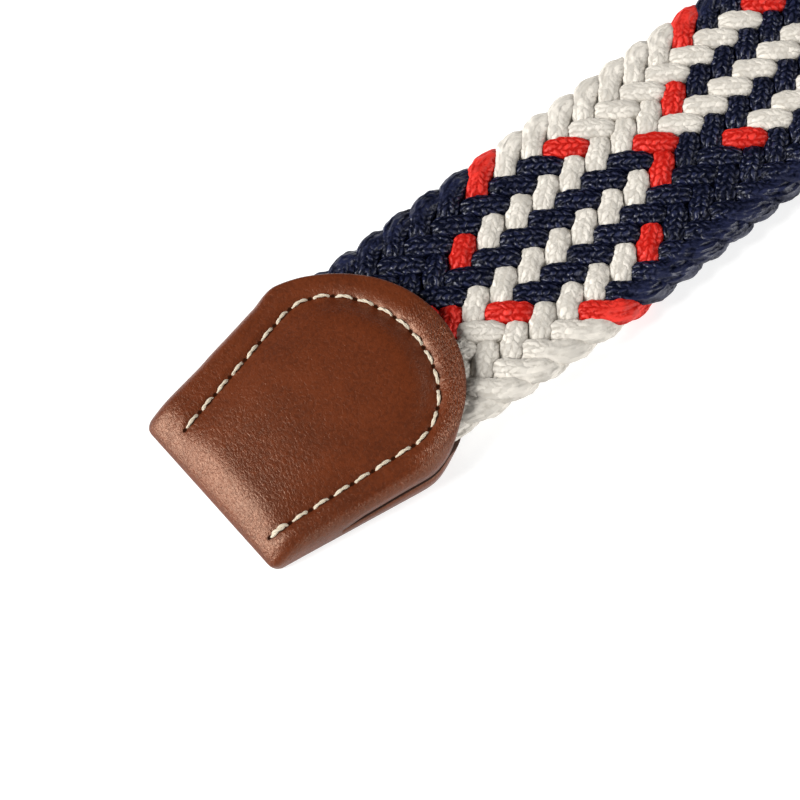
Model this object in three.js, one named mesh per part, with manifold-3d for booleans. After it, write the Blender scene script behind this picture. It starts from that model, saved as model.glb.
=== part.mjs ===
// An elastic braided belt, laid out straight and face up: a flat band plaited from cords,
// a folded leather tab sewn over its free end, and a second leather tab that holds a
// one-piece metal buckle on the other end.
// Millimetres. +X runs along the belt from the tip to the buckle, +Y across it, +Z up.
// The origin is on the surface the belt lies on, under the middle of its length.
import * as THREE from "three";
import { mergeVertices } from "three/addons/utils/BufferGeometryUtils.js";
import Module from "manifold-3d";

const wasm = await Module();
wasm.setup();

// Driving dimensions of the whole belt
const BELT_LENGTH = 1100;
const CLEARANCE = 0.3;

// The plaited band
const BAND_WIDTH = 35.4;
const BAND_THICKNESS = 4.0;
const CORD_STEP = 5.0;
const CORD_BUMP = 0.45; // in and out from the edge's middle line
const EDGE_CHAMFER = 1.1;
const FIRST_BUMP = 63.3; // from the tip to one of the cord bumps on the +Y edge

// The leather tabs. Lengths along the belt are measured from a tab's fold.
const LEATHER = 1.3;
const TAB_LENGTH = 38;
const TAB_SHOULDER = 23.7;
const TAB_FOLD_HALF_WIDTH = 13.0;
const TAB_SHOULDER_HALF_WIDTH = 17.7;
const TAB_ROUND_POWER = 2.3; // of the superellipse that rounds the sewn end
const TAB_ROUND_STEPS = 20; // in each quarter of it
const TAB_CORNER = 1.2; // at the two ends of the fold
const TAB_EDGE = 0.9; // rounding of the rim
const TIP_FOLD_THICKNESS = 3.8;
const TAB_OPEN_THICKNESS = 6.6;
const SLIT = 0.5; // open seam between the upper and the lower leather
const SLIT_HEIGHT = 1.5;
const SLIT_DEPTH = 5;
const SLIT_START = 8;

// The buckle
const BUCKLE_LENGTH = 36;
const BUCKLE_WIDTH = 46;
const BUCKLE_BAR = 4.6;
const BUCKLE_THICKNESS = 3.2;
const BUCKLE_CORNER = 7;
const BUCKLE_ROUNDING = 0.8;
const HEEL_RADIUS = 1.75;
const EYE_RADIUS = 2.4;
const PRONG_RADIUS = 1.5;
const PRONG_COLLAR_RADIUS = 2.9;
const PRONG_WIDTH = 4.0;
const PRONG_SLOT_LENGTH = 8.5;
const PRONG_OVERHANG = 0.8; // past the front bar's middle

const ROUND_SIDES = 24;
const tipEnd = -BELT_LENGTH / 2;
const buckleEnd = BELT_LENGTH / 2;
const buckleFoldRadius = HEEL_RADIUS + CLEARANCE + LEATHER;
const heelX = buckleEnd - BUCKLE_LENGTH + BUCKLE_BAR / 2;
const buckleFold = heelX + buckleFoldRadius;

// A closed geometry as a solid that can be joined and cut.
function solidOf(geometry) {
  const bare = geometry.clone();
  bare.deleteAttribute("normal");
  bare.deleteAttribute("uv");
  const merged = mergeVertices(bare, 1e-4);
  return new wasm.Manifold(
    new wasm.Mesh({
      numProp: 3,
      vertProperties: new Float32Array(merged.attributes.position.array),
      triVerts: new Uint32Array(merged.index.array),
    }),
  );
}

// A solid as a geometry that a mesh can show.
function geometryOf(solid) {
  const made = solid.getMesh();
  const geometry = new THREE.BufferGeometry();
  geometry.setAttribute("position", new THREE.BufferAttribute(made.vertProperties, 3));
  geometry.setIndex(new THREE.BufferAttribute(made.triVerts, 1));
  geometry.computeVertexNormals();
  return geometry;
}

// A closed body through rings of points. Every ring has as many points, and the first and
// last rings are closed with fans.
function loft(rings) {
  const sides = rings[0].length;
  const points = rings.flat();
  const faces = [];
  for (let row = 0; row + 1 < rings.length; row++) {
    for (let side = 0; side < sides; side++) {
      const next = (side + 1) % sides;
      const here = row * sides;
      const there = here + sides;
      faces.push(here + side, here + next, there + side);
      faces.push(here + next, there + next, there + side);
    }
  }
  const last = (rings.length - 1) * sides;
  for (let side = 1; side + 1 < sides; side++) {
    faces.push(0, side + 1, side);
    faces.push(last, last + side, last + side + 1);
  }
  const geometry = new THREE.BufferGeometry().setFromPoints(points);
  geometry.setIndex(faces);
  return geometry;
}

// A round bar along Y through a point.
function crossBar(x, z, radius, length) {
  return new THREE.CylinderGeometry(radius, radius, length, ROUND_SIDES).translate(x, 0, z);
}

// The band's form near its two ends, by the distance in from the end of the leather. The
// band is tapered inside the leather, and comes down to the surface in front of it.
const bandHalf = BAND_WIDTH / 2 - CORD_BUMP;
const OPEN_FORM = [
  { from: 36.5, half: bandHalf, low: LEATHER, high: 5.0 },
  { from: 48, half: bandHalf, low: LEATHER / 2, high: 4.5 },
  { from: 62, half: bandHalf, low: 0, high: BAND_THICKNESS },
];
const TIP_FORM = [
  { from: 7, half: 12.2, low: LEATHER, high: 2.6 },
  { from: 19, half: 14.8, low: LEATHER, high: 3.7 },
  { from: 24.5, half: bandHalf, low: LEATHER, high: 4.15 },
  ...OPEN_FORM,
];
const BUCKLE_FORM = [
  { from: 10, half: 12.6, low: LEATHER, high: 4.9 },
  { from: 19, half: 14.8, low: LEATHER, high: 4.9 },
  { from: 24.5, half: bandHalf, low: LEATHER, high: 4.95 },
  ...OPEN_FORM,
];

// The prong's middle line above the place where its tip rests, by the share of its reach.
const PRONG_LINE = [
  { share: 0.25, above: 0.5 },
  { share: 0.65, above: 0.5 },
  { share: 1, above: 0 },
];

// The row of a form table at a distance from the end, worked out between its rows.
function formAt(form, from) {
  if (from >= form.at(-1).from) return form.at(-1);
  const after = Math.max(1, form.findIndex((row) => row.from >= from));
  const a = form[after - 1];
  const b = form[after];
  const share = (from - a.from) / (b.from - a.from);
  const between = (key) => a[key] + (b[key] - a[key]) * share;
  return { from, half: between("half"), low: between("low"), high: between("high") };
}

// The band's section at x, as a ring of eight points. The two edges bulge by their own
// amounts, and grow makes the section larger all round for a pocket.
function bandRing(x, bulgeRight, bulgeLeft, grow = 0) {
  const form = x < 0 ? formAt(TIP_FORM, x - tipEnd) : formAt(BUCKLE_FORM, buckleFold - x);
  const low = form.low - grow;
  const high = form.high + grow;
  const left = form.half + bulgeLeft + grow;
  const right = form.half + bulgeRight + grow;
  const chamferUp = Math.min(EDGE_CHAMFER, (high - low) / 3);
  return [
    new THREE.Vector3(x, left - EDGE_CHAMFER, low),
    new THREE.Vector3(x, left, low + chamferUp),
    new THREE.Vector3(x, left, high - chamferUp),
    new THREE.Vector3(x, left - EDGE_CHAMFER, high),
    new THREE.Vector3(x, EDGE_CHAMFER - right, high),
    new THREE.Vector3(x, -right, high - chamferUp),
    new THREE.Vector3(x, -right, low + chamferUp),
    new THREE.Vector3(x, EDGE_CHAMFER - right, low),
  ];
}

// The whole plaited band as one body. Each cord that turns back at an edge makes a bump, and
// the bumps of the two edges lie half a step apart.
function bandGeometry() {
  const start = tipEnd + TIP_FORM[0].from;
  const end = buckleFold - BUCKLE_FORM[0].from;
  const firstBump = tipEnd + FIRST_BUMP;
  const halfStep = CORD_STEP / 2;
  const lastRow = Math.floor((end - firstBump) / halfStep);
  const rings = [];
  for (let row = Math.ceil((start - firstBump) / halfStep); row <= lastRow; row++) {
    const x = firstBump + row * halfStep;
    const hidden = x < tipEnd + TAB_SHOULDER || x > buckleFold - TAB_SHOULDER;
    const bump = row % 2 === 0 ? CORD_BUMP : -CORD_BUMP;
    rings.push(hidden ? bandRing(x, 0, 0) : bandRing(x, -bump, bump));
  }
  return loft(rings);
}

// The space that the band's end takes in a tab, with clearance, running out past the tab.
function pocket(form, end, inwards) {
  const covered = form.map((row) => row.from).filter((from) => from < TAB_LENGTH);
  const stations = [form[0].from - CLEARANCE, ...covered.slice(1), TAB_LENGTH + LEATHER];
  const rings = stations.map((from) => {
    const open = from > TAB_SHOULDER ? CORD_BUMP : 0;
    return bandRing(end + inwards * from, open, open, CLEARANCE);
  });
  if (inwards < 0) rings.reverse();
  return solidOf(loft(rings));
}

// The tab's outline from above: straight sides that widen from the fold to the shoulders,
// and a superellipse round the sewn end.
function tabOutline(inset) {
  const outline = new THREE.Shape();
  const fold = TAB_FOLD_HALF_WIDTH - inset;
  const wide = TAB_SHOULDER_HALF_WIDTH - inset;
  const reach = TAB_LENGTH - TAB_SHOULDER - inset;
  const cornerX = inset + TAB_CORNER;
  const cornerY = fold + (TAB_CORNER * (wide - fold)) / (TAB_SHOULDER - inset);
  outline.moveTo(inset, TAB_CORNER - fold);
  outline.quadraticCurveTo(inset, -fold, cornerX, -cornerY);
  outline.lineTo(TAB_SHOULDER, -wide);
  for (let step = 1; step < TAB_ROUND_STEPS * 2; step++) {
    const turn = (step / TAB_ROUND_STEPS - 1) * (Math.PI / 2);
    const along = Math.pow(Math.cos(turn), 2 / TAB_ROUND_POWER);
    const across = Math.sign(turn) * Math.pow(Math.abs(Math.sin(turn)), 2 / TAB_ROUND_POWER);
    outline.lineTo(TAB_SHOULDER + reach * along, wide * across);
  }
  outline.lineTo(TAB_SHOULDER, wide);
  outline.lineTo(cornerX, cornerY);
  outline.quadraticCurveTo(inset, fold, inset, fold - TAB_CORNER);
  outline.closePath();
  return outline;
}

// The tab's outline from the side, with a round fold, as a solid right across the belt.
function foldProfile(foldThickness) {
  const radius = foldThickness / 2;
  const far = TAB_LENGTH + 1;
  const high = Math.max(foldThickness, TAB_OPEN_THICKNESS) + 1;
  const profile = new THREE.Shape();
  profile.moveTo(far, 0);
  profile.lineTo(far, high);
  profile.lineTo(radius * 2, high);
  profile.lineTo(radius, foldThickness);
  profile.absarc(radius, radius, radius, Math.PI / 2, Math.PI * 1.5);
  profile.closePath();
  return new THREE.ExtrudeGeometry(profile, {
    depth: BAND_WIDTH * 2,
    curveSegments: 10,
    bevelEnabled: false,
  })
    .rotateX(Math.PI / 2)
    .translate(0, BAND_WIDTH, 0);
}

// A folded tab with rounded edges, lying from its fold at x = 0 towards +X. It is as thick
// as foldThickness at the fold and TAB_OPEN_THICKNESS at its sewn end.
function tabBody(foldThickness) {
  const body = new THREE.ExtrudeGeometry(tabOutline(TAB_EDGE), {
    depth: TAB_OPEN_THICKNESS - 2 * TAB_EDGE,
    curveSegments: 3,
    bevelEnabled: true,
    bevelThickness: TAB_EDGE,
    bevelSize: TAB_EDGE,
    bevelSegments: 2,
  }).translate(0, 0, TAB_EDGE);
  const place = body.attributes.position;
  const radius = foldThickness / 2;
  for (let i = 0; i < place.count; i++) {
    const share = Math.max(0, (place.getX(i) - radius) / (TAB_LENGTH - radius));
    const thickness = THREE.MathUtils.lerp(foldThickness, TAB_OPEN_THICKNESS, share);
    place.setZ(i, (place.getZ(i) * thickness) / TAB_OPEN_THICKNESS);
  }
  return solidOf(body).intersect(solidOf(foldProfile(foldThickness)));
}

// The open seam along a tab's two sides, where the upper and lower leather meet.
function slits(end, inwards) {
  const length = TAB_LENGTH - SLIT_START;
  const middle = end + inwards * (SLIT_START + length / 2);
  return [-1, 1].map((side) => {
    const cut = new THREE.BoxGeometry(length, 2 * SLIT_DEPTH, SLIT);
    return solidOf(cut.translate(middle, side * TAB_SHOULDER_HALF_WIDTH, SLIT_HEIGHT));
  });
}

// A solid with several others cut out of it.
function cutAll(solid, cuts) {
  return cuts.reduce((left, cut) => left.subtract(cut), solid);
}

function tipLeatherGeometry() {
  const body = tabBody(TIP_FOLD_THICKNESS).translate([tipEnd, 0, 0]);
  return geometryOf(cutAll(body, [pocket(TIP_FORM, tipEnd, 1), ...slits(tipEnd, 1)]));
}

// The way through the fold for the heel bar. It runs back to the band's end, so the fold is
// a loop of leather round the bar.
function barTunnel() {
  const radius = HEEL_RADIUS + CLEARANCE;
  const length = heelX - (buckleFold - BUCKLE_FORM[0].from);
  const back = new THREE.BoxGeometry(length, BUCKLE_WIDTH, 2 * radius);
  const round = crossBar(heelX, buckleFoldRadius, radius, BUCKLE_WIDTH);
  return solidOf(back.translate(heelX - length / 2, 0, buckleFoldRadius)).add(solidOf(round));
}

// The slot through the fold in which the prong stands, open at the fold and round behind.
function prongSlot() {
  const width = PRONG_WIDTH + 4 * CLEARANCE;
  const height = 4 * buckleFoldRadius;
  const back = buckleFold - PRONG_SLOT_LENGTH + width / 2;
  const length = buckleFold + LEATHER - back;
  const open = new THREE.BoxGeometry(length, width, height);
  const round = new THREE.CylinderGeometry(width / 2, width / 2, height, ROUND_SIDES);
  return solidOf(open.translate(back + length / 2, 0, buckleFoldRadius)).add(
    solidOf(round.rotateX(Math.PI / 2).translate(back, 0, buckleFoldRadius)),
  );
}

function buckleLeatherGeometry() {
  const body = tabBody(2 * buckleFoldRadius).rotate([0, 0, 180]).translate([buckleFold, 0, 0]);
  const cuts = [pocket(BUCKLE_FORM, buckleFold, -1), barTunnel(), prongSlot()];
  return geometryOf(cutAll(body, [...cuts, ...slits(buckleFold, -1)]));
}

// The buckle's flat frame: a bar that runs round three sides, with rounded corners, from
// one eye of the heel bar to the other. It lies along +X from the heel bar's axis.
function frameGeometry() {
  const outer = BUCKLE_WIDTH / 2 - BUCKLE_ROUNDING;
  const inner = BUCKLE_WIDTH / 2 - BUCKLE_BAR + BUCKLE_ROUNDING;
  const front = BUCKLE_LENGTH - BUCKLE_BAR / 2 - BUCKLE_ROUNDING;
  const frontInner = front - BUCKLE_BAR + 2 * BUCKLE_ROUNDING;
  const back = BUCKLE_ROUNDING;
  const innerCorner = BUCKLE_CORNER - BUCKLE_BAR + 2 * BUCKLE_ROUNDING;
  const frame = new THREE.Shape();
  frame.moveTo(back, -outer);
  frame.lineTo(front - BUCKLE_CORNER, -outer);
  frame.absarc(front - BUCKLE_CORNER, BUCKLE_CORNER - outer, BUCKLE_CORNER, -Math.PI / 2, 0);
  frame.lineTo(front, outer - BUCKLE_CORNER);
  frame.absarc(front - BUCKLE_CORNER, outer - BUCKLE_CORNER, BUCKLE_CORNER, 0, Math.PI / 2);
  frame.lineTo(back, outer);
  frame.lineTo(back, inner);
  frame.lineTo(frontInner - innerCorner, inner);
  frame.absarc(
    frontInner - innerCorner, inner - innerCorner, innerCorner, Math.PI / 2, 0, true,
  );
  frame.lineTo(frontInner, innerCorner - inner);
  frame.absarc(
    frontInner - innerCorner, innerCorner - inner, innerCorner, 0, -Math.PI / 2, true,
  );
  frame.lineTo(back, -inner);
  frame.closePath();
  return new THREE.ExtrudeGeometry(frame, {
    depth: BUCKLE_THICKNESS - 2 * BUCKLE_ROUNDING,
    curveSegments: 6,
    bevelEnabled: true,
    bevelThickness: BUCKLE_ROUNDING,
    bevelSize: BUCKLE_ROUNDING,
    bevelSegments: 2,
  }).translate(0, 0, BUCKLE_ROUNDING - BUCKLE_THICKNESS / 2);
}

// The prong, from its collar round the heel bar to its tip on the front bar.
function prong() {
  const rest = BUCKLE_THICKNESS / 2 + PRONG_RADIUS - CLEARANCE;
  const reach = BUCKLE_LENGTH - BUCKLE_BAR + PRONG_OVERHANG;
  const line = new THREE.CatmullRomCurve3([
    new THREE.Vector3(0, 0, PRONG_COLLAR_RADIUS - PRONG_RADIUS),
    ...PRONG_LINE.map((row) => new THREE.Vector3(reach * row.share, 0, rest + row.above)),
  ]);
  const section = new THREE.Shape();
  section.absarc(0, 0, PRONG_RADIUS, 0, Math.PI * 2);
  const bar = new THREE.ExtrudeGeometry(section, {
    steps: ROUND_SIDES / 2,
    extrudePath: line,
    curveSegments: ROUND_SIDES / 4,
  });
  const tip = new THREE.SphereGeometry(PRONG_RADIUS, 12, 8).translate(reach, 0, rest);
  return solidOf(bar).add(solidOf(tip));
}

// The whole buckle in one piece, with its front bar down on the surface.
function buckleGeometry() {
  const eyeY = (BUCKLE_WIDTH - BUCKLE_BAR) / 2;
  const bars = [
    crossBar(0, 0, HEEL_RADIUS, BUCKLE_WIDTH - BUCKLE_BAR),
    crossBar(0, 0, PRONG_COLLAR_RADIUS, PRONG_WIDTH),
    crossBar(0, 0, EYE_RADIUS, BUCKLE_BAR).translate(0, -eyeY, 0),
    crossBar(0, 0, EYE_RADIUS, BUCKLE_BAR).translate(0, eyeY, 0),
  ];
  const buckle = [solidOf(frameGeometry()), ...bars.map(solidOf)].reduce(
    (joined, piece) => joined.add(piece),
    prong(),
  );
  const drop = buckleFoldRadius - BUCKLE_THICKNESS / 2;
  const lean = Math.asin(drop / (BUCKLE_LENGTH - BUCKLE_BAR / 2));
  return geometryOf(buckle).rotateY(lean).translate(heelX, 0, buckleFoldRadius);
}

const cordMaterial = new THREE.MeshStandardMaterial({ color: 0x1a2140, roughness: 0.7 });
const leatherMaterial = new THREE.MeshStandardMaterial({ color: 0x74401f, roughness: 0.45 });
const metalMaterial = new THREE.MeshStandardMaterial({
  color: 0xb9b7b2,
  roughness: 0.3,
  metalness: 1,
});

const belt = new THREE.Group();
const pieces = [
  ["woven_band", bandGeometry(), cordMaterial],
  ["tip_leather", tipLeatherGeometry(), leatherMaterial],
  ["buckle_leather", buckleLeatherGeometry(), leatherMaterial],
  ["buckle", buckleGeometry(), metalMaterial],
];
for (const [name, geometry, material] of pieces) {
  const piece = new THREE.Mesh(geometry, material);
  piece.name = name;
  belt.add(piece);
}

export default belt;
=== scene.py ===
"""An elastic belt: a flat band plaited from covered elastic cords, with sewn leather tabs.

Lengths are in millimetres up to the point where a mesh is made, and in metres from there.
+X runs along the belt from its free tip to the buckle, +Y across it and +Z up.
"""

import logging
import math
from abc import ABC, abstractmethod
from collections.abc import Mapping, Sequence
from dataclasses import dataclass, field
from enum import Enum
from functools import partial

import bpy
import numpy as np
from mathutils import Euler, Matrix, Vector


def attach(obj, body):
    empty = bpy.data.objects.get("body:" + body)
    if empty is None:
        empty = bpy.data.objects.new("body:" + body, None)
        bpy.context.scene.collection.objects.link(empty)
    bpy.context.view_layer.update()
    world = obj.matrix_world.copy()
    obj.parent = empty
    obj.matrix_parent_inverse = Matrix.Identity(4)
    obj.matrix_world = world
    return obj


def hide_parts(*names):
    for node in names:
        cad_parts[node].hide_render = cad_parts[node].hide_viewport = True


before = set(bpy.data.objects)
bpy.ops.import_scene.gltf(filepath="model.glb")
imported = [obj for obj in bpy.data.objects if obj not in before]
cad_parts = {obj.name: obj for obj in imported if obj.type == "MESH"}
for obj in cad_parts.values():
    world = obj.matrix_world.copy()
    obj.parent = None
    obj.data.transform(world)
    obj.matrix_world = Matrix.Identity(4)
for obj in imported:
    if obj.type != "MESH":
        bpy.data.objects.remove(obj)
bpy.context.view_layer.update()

log = logging.getLogger("elastic_belt")

METRES = 0.001
BODY = "root"
BELT_END = 550.0  # both ends of the belt lie this far from its middle
GRAIN_PITCH = 1.08  # between the yarn grains of a row, measured along the dark cords
YARN_ROWS = 10  # of grains round a cord

Array = np.ndarray
Faces = list[tuple[int, ...]]
Material = bpy.types.Material
Node = bpy.types.Node
NodeTree = bpy.types.NodeTree
Piece = bpy.types.Object
Socket = bpy.types.NodeSocket
Triple = tuple[float, float, float]


# Small helpers for numbers, meshes and nodes


def linear_colour(hex_colour: str) -> tuple[float, float, float, float]:
    """Turn an sRGB hex colour into the linear colour that a shader takes.

    Args:
        hex_colour: Six hex digits after a hash.

    Returns:
        Red, green, blue and an alpha of one.
    """
    parts = [int(hex_colour[i : i + 2], 16) / 255 for i in (1, 3, 5)]
    linear = [c / 12.92 if c <= 0.04045 else ((c + 0.055) / 1.055) ** 2.4 for c in parts]
    return (linear[0], linear[1], linear[2], 1.0)


def smooth_step(value: Array, low: float, high: float) -> Array:
    """Rise smoothly from 0 at low to 1 at high."""
    share = np.clip((value - low) / (high - low), 0.0, 1.0)
    return share * share * (3.0 - 2.0 * share)


def gain(value: Array, step: Triple) -> Array:
    """Rise smoothly by a step's first number between its second and its third."""
    return step[0] * smooth_step(value, step[1], step[2])


def bell(value: Array, middle: Array | float, width: float) -> Array:
    """Give the height of a bell curve that is 1 at its middle."""
    return np.exp(-(((value - middle) / width) ** 2))


def quarter_round(share: Array, power: float = 2.0) -> Array:
    """Give the height of a rounded edge, 0 at the rim and 1 past the rounding.

    Args:
        share: How far in from the rim, as a share of the rounding's width.
        power: 2 for a circle, more for a squarer shoulder.

    Returns:
        Heights from 0 to 1.
    """
    left = 1.0 - np.clip(share, 0.0, 1.0)
    return (1.0 - left**power) ** (1.0 / power)


def unit(vectors: Array) -> Array:
    """Scale rows of vectors to length one."""
    return vectors / np.maximum(np.linalg.norm(vectors, axis=-1, keepdims=True), 1e-9)


def stack(*parts: Array) -> Array:
    """Gather coordinates, spread to one shape, into points."""
    return np.stack(np.broadcast_arrays(*parts), axis=-1)


def path_length(line: Array) -> Array:
    """Give the length along a line at each of its points."""
    return np.concatenate([[0.0], np.cumsum(np.linalg.norm(np.diff(line, axis=0), axis=1))])


def points_at(places: Array, known: Array, line: Array) -> Array:
    """Give a flat line's points at some places, from its points at known places."""
    return stack(*(np.interp(places, known, line[:, i]) for i in (0, 1)))


def right_of(line: Array) -> tuple[Array, Array]:
    """Give the directions along a flat line and to its right."""
    tangent = unit(np.gradient(line, axis=0))
    return tangent, stack(tangent[:, 1], -tangent[:, 0])


def across(ahead: Array) -> tuple[Array, Array]:
    """Give the level and the upright direction across a path, from its direction."""
    side = unit(np.cross([0.0, 0.0, 1.0], ahead))
    return side, np.cross(ahead, side)


def add_node(
    tree: NodeTree,
    kind: str,
    inputs: Mapping[str | int, object] | None = None,
    **settings: object,
) -> Node:
    """Add one shader node with its settings, its values and its links.

    Args:
        tree: The node tree that takes the node.
        kind: The node's type, without the leading ShaderNode.
        inputs: For each input, by name or place, a value, a socket to link from, or a node
            whose first socket is linked.
        **settings: Attributes of the node itself.

    Returns:
        The new node.
    """
    node = tree.nodes.new(f"ShaderNode{kind}")
    for name, value in settings.items():
        setattr(node, name, value)
    for key, value in (inputs or {}).items():
        if isinstance(value, Node):
            value = value.outputs[0]
        if isinstance(value, Socket):
            tree.links.new(value, node.inputs[key])
        else:
            node.inputs[key].default_value = value
    return node


def make_piece(
    name: str,
    points: Array,
    faces: Faces,
    materials: Sequence[Material],
    uvs: Mapping[str, Array] | None = None,
) -> Piece:
    """Make a smooth mesh object from points in millimetres.

    Args:
        name: The piece's name.
        points: One row for each vertex.
        faces: Vertex numbers of each face.
        materials: The piece's materials, of which the faces take the first.
        uvs: For each UV map, one row for each corner of each face.

    Returns:
        The object, linked to the scene.
    """
    mesh = bpy.data.meshes.new(name)
    mesh.from_pydata((points * METRES).tolist(), [], faces)
    for map_name, corners in (uvs or {}).items():
        layer = mesh.uv_layers.new(name=map_name)
        layer.data.foreach_set("uv", np.asarray(corners, dtype=np.float32).ravel())
    mesh.polygons.foreach_set("use_smooth", np.ones(len(mesh.polygons), dtype=bool))
    mesh.update()
    for material in materials:
        mesh.materials.append(material)
    piece = bpy.data.objects.new(name, mesh)
    bpy.context.scene.collection.objects.link(piece)
    return piece


def bake_modifiers(piece: Piece) -> None:
    """Replace a piece's mesh by the result of its modifiers.

    Args:
        piece: The piece, whose modifiers are removed.
    """
    graph = bpy.context.evaluated_depsgraph_get()
    made = bpy.data.meshes.new_from_object(piece.evaluated_get(graph), depsgraph=graph)
    piece.modifiers.clear()
    piece.data = made


def place_on_belt(piece: Piece, node: str, slot: str) -> None:
    """Let a piece ride on the belt in place of a CAD node.

    Args:
        piece: The finished piece.
        node: The CAD node that it stands for.
        slot: The record's material slot of its finish; not used.
    """
    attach(piece, BODY)
    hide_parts(node)
    log.info("%s: %d faces in place of %s", piece.name, len(piece.data.polygons), node)


@dataclass
class Tubes:
    """Closed tubes that are gathered into one mesh, with a UV map along and round them."""

    points: list[Array] = field(default_factory=list)
    faces: Faces = field(default_factory=list)
    corners: list[Array] = field(default_factory=list)
    count: int = 0

    def add_rings(self, rings: Array, along: Array, turns: float) -> int:
        """Add the rings of one tube and the faces between them.

        Args:
            rings: Points as tube rings by points of a ring by three.
            along: Length along the tube at each ring.
            turns: The UV map's V after once round.

        Returns:
            The number of the first point.
        """
        first = self.count
        n, sides = rings.shape[:2]
        self.points.append(rings.reshape(-1, 3))
        self.count += n * sides
        i, j = np.meshgrid(np.arange(n - 1), np.arange(sides), indexing="ij")
        ahead = (j + 1) % sides
        low = first + i * sides
        high = low + sides
        quads = stack(low + j, low + ahead, high + ahead, high + j)
        self.faces.extend(map(tuple, quads.reshape(-1, 4).tolist()))
        u = stack(along[i], along[i], along[i + 1], along[i + 1])
        v = stack(j, j + 1, j + 1, j) * (turns / sides)
        self.corners.append(stack(u, v).reshape(-1, 2))
        return first

    def close(self, first: int, sides: int, outward: bool) -> None:
        """Close a tube's end with one flat face.

        Args:
            first: The end ring's first point.
            sides: The number of points of the ring.
            outward: Whether the ring is the tube's last one.
        """
        ring = tuple(range(first, first + sides))
        self.faces.append(ring if outward else ring[::-1])
        self.corners.append(np.zeros((sides, 2)))

    def add_tube(self, rings: Array, along: Array) -> None:
        """Add one tube with even rings and both ends closed.

        Args:
            rings: Points as tube rings by points of a ring by three.
            along: Length along the tube at each ring.
        """
        sides = rings.shape[1]
        self.close(self.add_rings(rings, along, 1.0), sides, outward=False)
        self.close(self.count - sides, sides, outward=True)

    def halve(self, fine: int, coarse: int, sides: int, along: tuple[float, float], after: bool) -> None:
        """Join a ring to one that has half as many points.

        Args:
            fine: The finer ring's first point.
            coarse: The coarser ring's first point.
            sides: The number of points of the coarser ring.
            along: Length along the tube at the finer and the coarser ring.
            after: Whether the coarser ring comes after the finer one.
        """
        for j in range(sides):
            # Each entry is a point's number, its length along the tube and its place round it.
            near = [(fine + (2 * j + k) % (2 * sides), along[0], j + k / 2.0) for k in range(3)]
            far = [(coarse + (j + k) % sides, along[1], float(j + k)) for k in range(2)]
            for face in ((near[0], near[1], far[0]), (near[1], far[1], far[0]), (near[1], near[2], far[1])):
                ordered = face if after else face[::-1]
                self.faces.append(tuple(point[0] for point in ordered))
                self.corners.append(np.array([point[1:] for point in ordered]))

    def piece(self, name: str, uv_name: str, material: Material) -> Piece:
        """Make one object of all the tubes."""
        uvs = {uv_name: np.concatenate(self.corners)}
        return make_piece(name, np.concatenate(self.points), self.faces, [material], uvs)


# Finishes. The scale of a noise is in lumps per metre, so that 1,100 makes lumps 0.9 mm apart.


class Finish(ABC):
    """What a real material looks like, and how its nodes are made."""

    name: str

    def material(self) -> Material:
        """Make the material with its surface shader.

        Returns:
            The new material.
        """
        made = bpy.data.materials.new(self.name)
        made.use_nodes = True
        tree = made.node_tree
        tree.nodes.clear()
        add_node(tree, "OutputMaterial", {"Surface": self.surface(tree)})
        return made

    @abstractmethod
    def surface(self, tree: NodeTree) -> Node:
        """Make the nodes of the surface.

        Args:
            tree: The material's node tree.

        Returns:
            The shader node that ends them.
        """


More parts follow.
